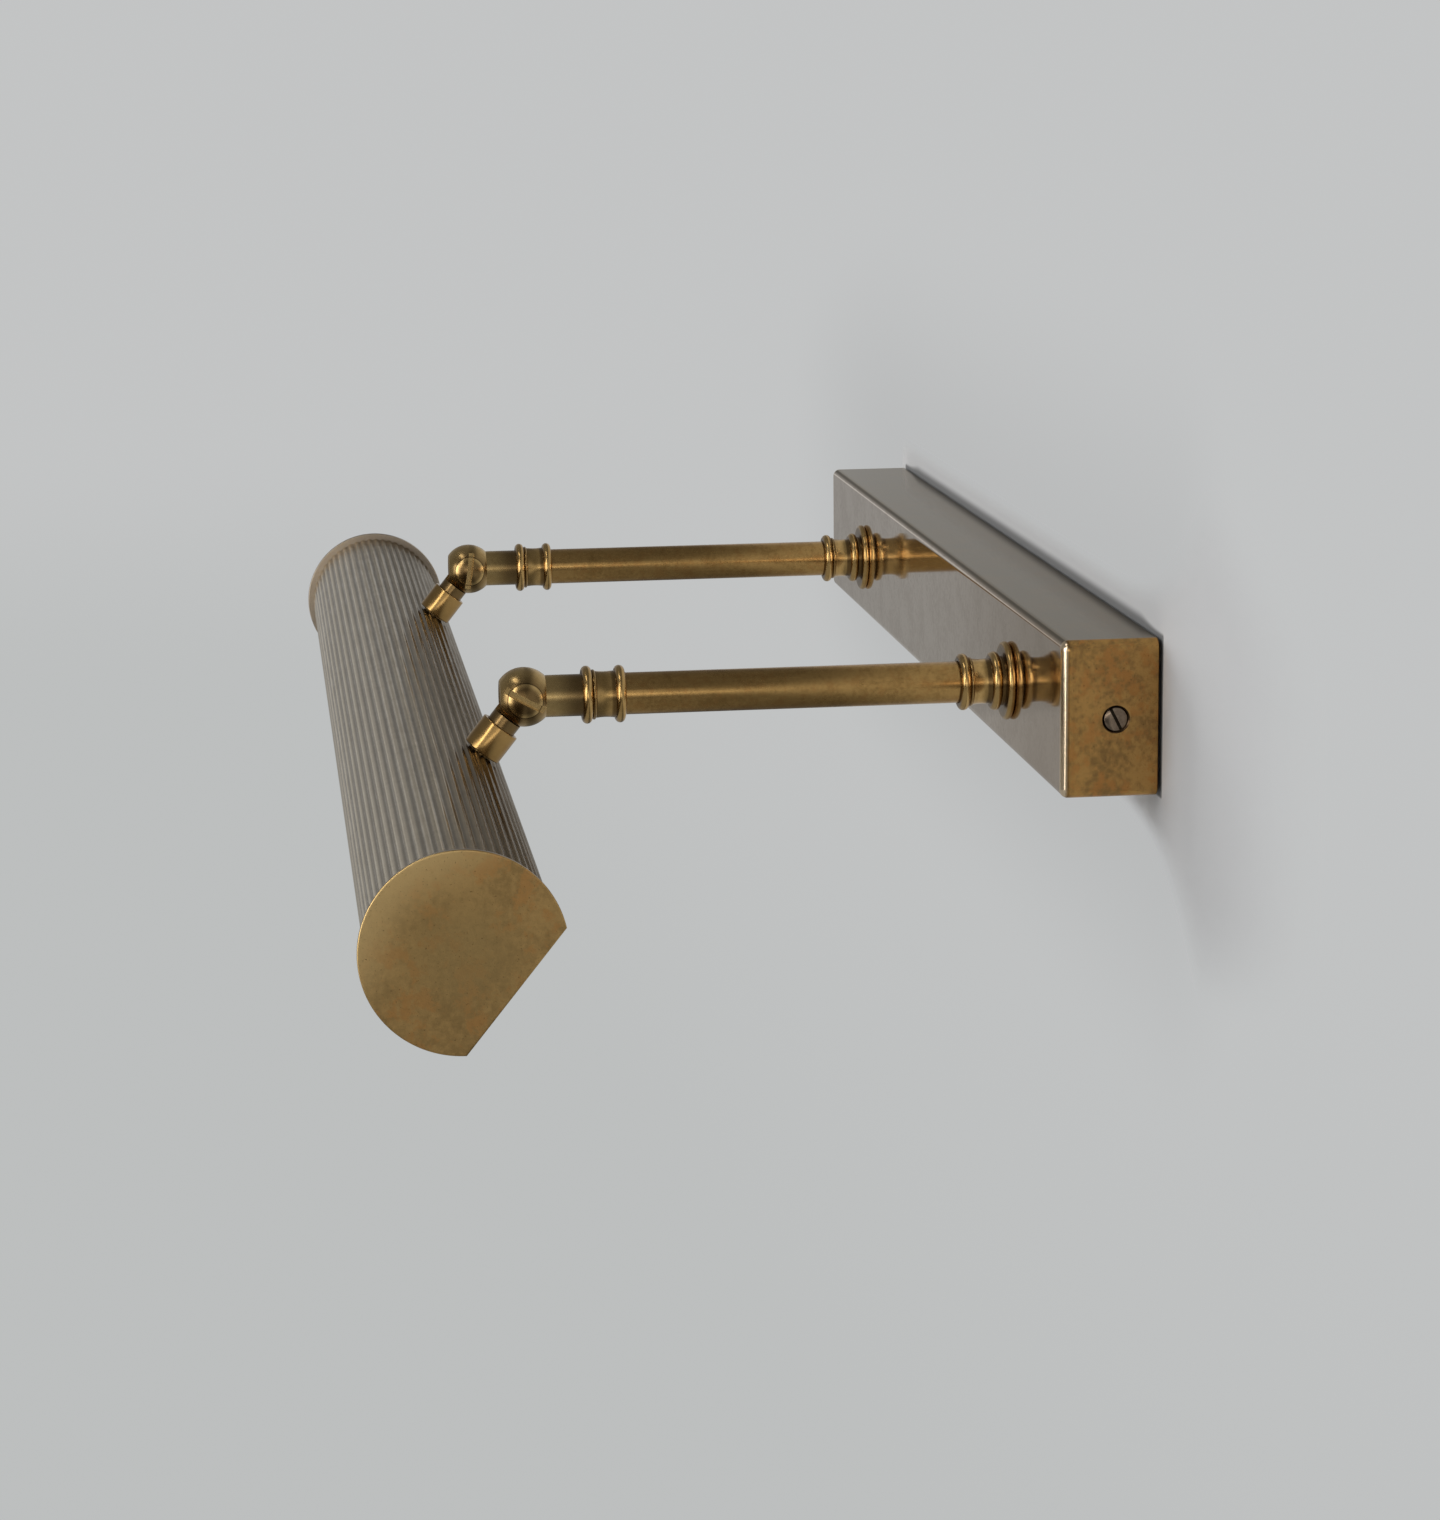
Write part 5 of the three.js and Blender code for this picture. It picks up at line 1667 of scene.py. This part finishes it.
    def ferrule(self, side: Side) -> Piece:
        """The polished sleeve between the knuckle and the tube.

        Args:
            side: The side of the light.

        Returns:
            The sleeve.
        """
        start, end = self.ferrule_start, self.drop - self.radius - self.seat_gap
        bore, outside = self.stub_radius + EDGE_EASE, self.ferrule_radius
        profile = corners((bore, start), (outside, start), (outside, end), (bore, end))
        name = f"sleeve_{side.word}"
        return turned(name, profile, self.stub_seat(side), ease=self.ferrule_ease)

    def reflector(self) -> Piece:
        """The tray round the crown: a ring wall that is open at the mouth.

        Returns:
            The tray.
        """
        outside, end = self.inside - self.seat_gap, self.reflector_end
        sweep = math.radians(self.reflector_sweep)
        outline = self.band(outside, outside - self.reflector_wall, sweep)
        return prism("reflector_tray", outline, -end, end, self.seat)

    def build(self, satin: Material) -> None:
        """Makes the shade's pieces.

        Args:
            satin: The finish of the stubs, the same as the arms' knuckles have.
        """
        cap, rubbed, plain = CAP.material(), POLISHED.material(), PLAIN.material()
        porcelain, opal, zinc = PORCELAIN.material(), OPAL.material(), ZINC.material()
        outfit(self.tube(), Body.SHADE, REEDED.material(), "shade_tube")
        outfit(self.reflector(), Body.SHADE, ENAMEL.material(), "reflector")
        for side in Side:
            word = side.word
            outfit(self.stub(side), Body.SHADE, satin, f"stub_knuckle_{word}")
            outfit(self.ferrule(side), Body.SHADE, rubbed, f"ferrule_{word}")
            outfit(self.cap(side), Body.SHADE, cap, f"end_cap_{word}")
            Bulb(side, self.lamp_seat(side), self.seat_gap).build(opal, porcelain)
            for node, material in (
                ("shade_nut", plain), ("lamp_cap", plain), ("holder_bracket", zinc)
            ):
                repaint(f"{node}_{word}", material)


@dataclass(frozen=True)
class Lamp:
    """A soft rectangular lamp of the room that looks at the light."""

    name: str
    place: Triple
    size: tuple[float, float]
    radiance: float
    colour: Colour
    mirrored: bool = True
    lights_wall: bool = True

    def build(self) -> None:
        """Hangs the lamp. Its power is its radiance times its area times pi."""
        data = bpy.data.lights.new(self.name, "AREA")
        data.shape = "RECTANGLE"
        data.size, data.size_y = self.size
        data.energy = self.radiance * self.size[0] * self.size[1] * math.pi
        data.color = self.colour
        lamp = bpy.data.objects.new(self.name, data)
        bpy.context.scene.collection.objects.link(lamp)
        aim = Vector(LIGHT_MIDDLE) - Vector(self.place)
        lamp.rotation_mode = "QUATERNION"
        lamp.rotation_quaternion = aim.to_track_quat("-Z", "Y")
        lamp.location = self.place
        lamp.visible_camera = False
        lamp.visible_glossy = self.mirrored
        lamp.visible_diffuse = self.lights_wall
        log.info("lamp %s", self.name)


LAMPS = (
    Lamp("window", (1.3, -2.6, 0.20), (1.6, 1.8), 3.2, (1.0, 0.99, 0.97), lights_wall=False),
    Lamp("room_end", (3.2, -0.8, 0.20), (1.6, 0.4), 1.4, (1.0, 0.98, 0.95), lights_wall=False),
    Lamp("room_beyond", (3.6, -0.6, 0.60), (4.0, 2.0), 0.5, (1.0, 0.97, 0.93), lights_wall=False),
    Lamp("high_window", (1.6, -1.7, 1.25), (0.35, 1.3), 5.0, (1.0, 0.97, 0.92), lights_wall=False),
    Lamp("skylight", (0.25, -1.1, 1.9), (0.9, 0.3), 4.0, (1.0, 0.98, 0.95), lights_wall=False),
    Lamp("wide_window", (0.0, -2.4, 0.9), (3.0, 1.6), 1.35, (1.0, 0.99, 0.98), mirrored=False),
    Lamp("far_window", (-3.0, -1.6, 0.8), (1.8, 1.8), 4.2, (1.0, 0.99, 0.98), mirrored=False),
    Lamp("behind", (-0.3, 2.6, 0.6), (2.4, 1.5), 0.8, WHITE),
)


@dataclass(frozen=True)
class Places:
    """Where a point of the room lies beside the wall box, as values of its paint.

    X and Z are the point's own. The rest say how far it lies past the box's near end, past
    its far end, past either of them, above the box and below it, and are zero elsewhere.
    """

    x: Socket
    z: Socket
    past_near: Socket
    past_far: Socket
    past_end: Socket
    above: Socket
    below: Socket


@dataclass(frozen=True)
class PalePaint:
    """Matt paint that catches shadows near the light and turns to an even tone far from it.

    The even tone is for what the camera and the brass see. The back of a sheet lets
    everything through, and so does the wall behind the middle of the box.
    """

    name: str
    gloss: float
    colour: Colour = (0.85, 0.855, 0.86)
    low_tone: Colour = (0.508, 0.520, 0.519)
    high_tone: Colour = (0.545, 0.553, 0.555)
    tone_heights: Span = (-0.45, 0.15)
    tone_lean: float = 0.12
    box_reach: float = 0.208
    box_half_height: float = 23.0 * MM
    shadow_reach: Span = (0.06, 0.16)
    far_end_stretch: float = 14.0
    above_stretch: Span = (14.0, 3.0)
    stretch_reach: Span = (150.0 * MM, 260.0 * MM)
    # painted contact shadow on the wall along the box
    contact_shadow_reach: Span = (1.0 * MM, 4.2 * MM)
    contact_shadow_tone: float = 0.35
    contact_shadow_elsewhere: float = 4.0
    contact_shadow_taper_reach: Span = (180.0 * MM, 208.0 * MM)
    contact_shadow_taper: float = 2.4
    # painted shadow: the even tone is darkened near the box
    shadow_halo_reach: Span = (0.0, 0.10)
    shadow_halo_tone: float = 0.90
    far_shadow_halo: float = 0.3
    covered_margin: float = 10.0 * MM
    covered_edge: float = 1.0 * MM
    # painted pool of light on the wall at the light's height, seen only in reflections
    glow_height: float = 0.02
    glow_reach: Span = (0.14, 0.45)
    dim: float = 0.25
    distant: float = 0.55
    distant_reach: Span = (0.6, 2.5)

    def places(self, bench: Bench) -> Places:
        """Works out where the points lie.

        Args:
            bench: The nodes of the material.

        Returns:
            The places.
        """
        x, z = bench.axis("X"), bench.axis("Z")
        past_near = bench.over(x, self.box_reach)
        past_far = bench.over(bench.minus(x), self.box_reach)
        return Places(
            x, z, past_near, past_far, bench.plus(past_near, past_far),
            above=bench.over(z, self.box_half_height),
            below=bench.over(bench.minus(z), self.box_half_height))

    def contact_shaded(self, bench: Bench, at: Places) -> Socket:
        """The paint's colour, darkened by a painted contact shadow along the top of the box.

        Args:
            bench: The nodes of the material.
            at: Where the points lie.

        Returns:
            The colour.
        """
        taper = bench.ramp(bench.size(at.x), self.contact_shadow_taper_reach, (1.0, self.contact_shadow_taper))
        upright = bench.plus(
            bench.times(at.above, taper), bench.times(at.below, self.contact_shadow_elsewhere))
        apart = bench.span(bench.times(at.past_end, self.contact_shadow_elsewhere), upright)
        # painted contact shadow: the wall's colour darkens towards the box
        clean = bench.ramp(apart, self.contact_shadow_reach, (self.contact_shadow_tone, 1.0))
        return bench.blend(clean, BLACK, self.colour)

    def even_colour(self, bench: Bench, at: Places) -> Socket:
        """The even tone, which gets lighter upwards and a little towards the far end."""
        leaning = bench.plus(at.z, bench.times(at.x, -self.tone_lean))
        return bench.blend(bench.ramp(leaning, self.tone_heights), self.low_tone, self.high_tone)

    def shadow_halo(self, bench: Bench, at: Places) -> Socket:
        """Painted shadow: how the even tone darkens near the box, at its far end only a little way
        off.

        Args:
            bench: The nodes of the material.
            at: Where the points lie.

        Returns:
            A factor on its strength.
        """
        beyond = bench.plus(at.past_near, bench.times(at.past_far, self.far_shadow_halo))
        apart = bench.span(beyond, bench.plus(at.above, at.below))
        return bench.ramp(apart, self.shadow_halo_reach, (self.shadow_halo_tone, 1.0))

    def mirrored(self, bench: Bench, at: Places) -> Socket:
        """How strong the even tone looks in the brass: most at the light's height, a painted pool
        of light seen only in reflections.

        Args:
            bench: The nodes of the material.
            at: Where the points lie.

        Returns:
            The strength.
        """
        away = bench.size(bench.sum(Sum.MINUS, at.z, self.glow_height))
        near = bench.ramp(away, self.glow_reach, (self.gloss, self.gloss * self.dim))
        distant = bench.ramp(bench.minus(at.x), self.distant_reach, (0.0, self.distant))
        return bench.sum(Sum.HIGHEST, near, distant)

    def far_off(self, bench: Bench, at: Places) -> Socket:
        """How far off the box's own shadow a point lies, from 0 to 1.

        Args:
            bench: The nodes of the material.
            at: Where the points lie.

        Returns:
            The share of the even tone.
        """
        stretch = bench.ramp(at.x, self.stretch_reach, self.above_stretch)
        upright = bench.times(bench.plus(at.above, at.below), stretch)
        aside = bench.plus(at.past_end, bench.times(at.past_far, self.far_end_stretch))
        return bench.ramp(bench.span(aside, upright), self.shadow_reach)

    def see_through(self, bench: Bench, at: Places) -> Socket:
        """Whether light passes: from behind, and behind the box but for a margin.

        Args:
            bench: The nodes of the material.
            at: Where the points lie.

        Returns:
            1 where it passes and 0 elsewhere.
        """
        beside = bench.over(bench.size(at.x), self.box_reach - self.covered_margin)
        upright = bench.over(bench.size(at.z), self.box_half_height - self.covered_margin)
        outside = bench.plus(beside, upright)
        covered = bench.ramp(outside, (0.0, self.covered_edge), (1.0, 0.0))
        behind = bench.add("ShaderNodeNewGeometry").outputs["Backfacing"]
        return bench.sum(Sum.HIGHEST, behind, covered)

    def material(self) -> Material:
        """Builds the paint.

        Returns:
            The material.
        """
        bench = Bench(self.name)
        at = self.places(bench)
        rays = bench.add("ShaderNodeLightPath").outputs
        glossy = rays["Is Glossy Ray"]
        matt = bench.add("ShaderNodeBsdfDiffuse", ("Color", self.contact_shaded(bench, at)))
        less = bench.times(glossy, bench.sum(Sum.MINUS, self.mirrored(bench, at), 1.0))
        strength = bench.times(bench.plus(less, 1.0), self.shadow_halo(bench, at))
        even = bench.add(
            "ShaderNodeEmission", ("Color", self.even_colour(bench, at)), ("Strength", strength))
        seen = bench.plus(bench.plus(rays["Is Camera Ray"], glossy), rays["Is Transmission Ray"])
        share = bench.times(bench.sum(Sum.LOWEST, seen, 1.0), self.far_off(bench, at))
        mixed = bench.choose(share, matt.outputs["BSDF"], even.outputs["Emission"])
        clear = bench.add("ShaderNodeBsdfTransparent").outputs["BSDF"]
        return bench.finish(bench.choose(self.see_through(bench, at), mixed, clear))


@dataclass
class Room:
    """The pale wall that carries the light, the pale floor below, and the soft light."""

    wall_y: float = 0.3 * MM
    far_x: float = -6.0
    near_x: float = 4.0
    bend: float = 1.6
    bend_points: int = 40
    depth: float = 6.0
    floor_z: float = -1.5
    top_z: float = 3.5
    wall_paint: PalePaint = PalePaint("wall_paint", gloss=1.0)
    floor_paint: PalePaint = PalePaint("floor_paint", gloss=2.6)
    world_colour: Colour = (0.96, 0.98, 1.0)
    world_light: float = 0.19
    world_gloss: float = 0.2
    world_seen: float = 0.55

    def sheet(self, name: str, points: Points, inward: Triple, paint: PalePaint) -> None:
        """Makes one sheet of the room, its face to the inside, as a part of the stage.

        Args:
            name: Name of the sheet.
            points: Its grid of points.
            inward: A direction that its faces look towards.
            paint: Its finish.
        """
        rows, columns = points.shape[:2]
        faces = woven(rows, columns, False, False).tolist()
        mesh = bpy.data.meshes.new(name)
        mesh.from_pydata(points.reshape(-1, 3).tolist(), [], faces)
        mesh.update()
        if mesh.polygons[0].normal.dot(Vector(inward)) < 0:
            mesh.flip_normals()
        mesh.shade_smooth()
        mesh.materials.append(paint.material())
        piece = bpy.data.objects.new(name, mesh)
        bpy.context.scene.collection.objects.link(piece)
        log.info("stage %s", name)

    def wall(self) -> Points:
        """The wall: straight behind the light, then round a quarter circle into the room.

        On the quarter circle, X falls by the bend times the sine of the turn, and Y by the
        bend times one less its cosine.

        Returns:
            The grid of points.
        """
        turn = np.linspace(0.0, QUARTER, self.bend_points)
        end = self.far_x - self.bend
        x = np.concatenate([[self.near_x], self.far_x - self.bend * np.sin(turn), [end]])
        y = np.concatenate([
            [self.wall_y], self.wall_y - self.bend * (1 - np.cos(turn)), [-self.depth]])
        z = np.array([self.floor_z, self.top_z])[:, None]
        return np.stack(np.broadcast_arrays(x[None, :], y[None, :], z), axis=-1)

    def floor(self) -> Points:
        """The floor: one flat sheet below the light, as far as the wall reaches.

        Returns:
            The grid of points.
        """
        x = np.array([self.far_x - self.bend, self.near_x])[:, None]
        y = np.array([-self.depth, self.wall_y])[None, :]
        return np.stack(np.broadcast_arrays(x, y, self.floor_z), axis=-1)

    def light_all_round(self) -> None:
        """Sets the light from all round: one strength as light, one in gloss, one as seen."""
        world = bpy.data.worlds.new("even light")
        world.use_nodes = True
        nodes, links = world.node_tree.nodes, world.node_tree.links
        background = nodes["Background"]
        background.inputs["Color"].default_value = (*self.world_colour, 1.0)
        rays = nodes.new("ShaderNodeLightPath")
        strength = nodes.new("ShaderNodeMapRange")
        strength.inputs["To Min"].default_value = self.world_light
        strength.inputs["To Max"].default_value = self.world_gloss
        links.new(rays.outputs["Is Glossy Ray"], strength.inputs["Value"])
        seen = nodes.new("ShaderNodeMix")
        seen.inputs["B"].default_value = self.world_seen
        links.new(rays.outputs["Is Camera Ray"], seen.inputs["Factor"])
        links.new(strength.outputs["Result"], seen.inputs["A"])
        links.new(seen.outputs["Result"], background.inputs["Strength"])
        bpy.context.scene.world = world

    def build(self) -> None:
        """Puts up the wall and the floor, hangs the lamps and sets the light from all round."""
        self.sheet("wall", self.wall(), (0.0, -1.0, 0.0), self.wall_paint)
        self.sheet("floor", self.floor(), (0.0, 0.0, 1.0), self.floor_paint)
        for lamp in LAMPS:
            lamp.build()
        self.light_all_round()


@dataclass(frozen=True)
class PhotographCamera:
    """The pinhole camera of the photograph, solved from points read off it."""

    place: Triple = (1.2336371, -0.2579938, 0.2008124)
    pitch: float = 0.2005075
    yaw: float = -0.1238119
    roll: float = -0.0363773
    focal_pixels: float = 3723.926
    picture_height: float = 1520.0
    sensor: float = 36.0

    def turn(self) -> Points:
        """The camera's rows: right, down and ahead.

        Before it is turned, the camera looks along -X with +Y to its right. It is turned by
        the pitch about its right, the yaw about its down and the roll about its view.

        Returns:
            Three rows of three.
        """
        cp, sp = math.cos(self.pitch), math.sin(self.pitch)
        cy, sy = math.cos(self.yaw), math.sin(self.yaw)
        cr, sr = math.cos(self.roll), math.sin(self.roll)
        pitch = np.array([[1, 0, 0], [0, cp, -sp], [0, sp, cp]])
        yaw = np.array([[cy, 0, sy], [0, 1, 0], [-sy, 0, cy]])
        roll = np.array([[cr, -sr, 0], [sr, cr, 0], [0, 0, 1]])
        return roll @ yaw @ pitch @ np.array([[0, 1, 0], [0, 0, -1], [-1, 0, 0]])

    def build(self) -> None:
        """Sets up the camera. Blender's camera has its own up and back for down and ahead."""
        right, down, ahead = self.turn()
        data = bpy.data.cameras.new("photograph")
        data.sensor_width = self.sensor
        data.lens = self.focal_pixels * self.sensor / self.picture_height
        camera = bpy.data.objects.new("photograph", data)
        bpy.context.scene.collection.objects.link(camera)
        columns = np.eye(4)
        columns[:3, :3] = np.stack([right, -down, -ahead], axis=1)
        columns[:3, 3] = self.place
        camera.matrix_world = Matrix(columns.tolist())
        bpy.context.scene.camera = camera


def main() -> None:
    """Builds the light, the room and the camera in order."""
    logging.basicConfig(level=logging.INFO, format="%(name)s: %(message)s")
    bpy.context.scene.view_settings.view_transform = "Standard"
    WallBox().build()
    aged, arm, satin = AGED.material(), ARM.material(), SATIN.material()
    for side in Side:
        Arm(side, aged, arm, satin).build()
    Shade().build(satin)
    Room().build()
    PhotographCamera().build()


if __name__ == "__main__":
    main()
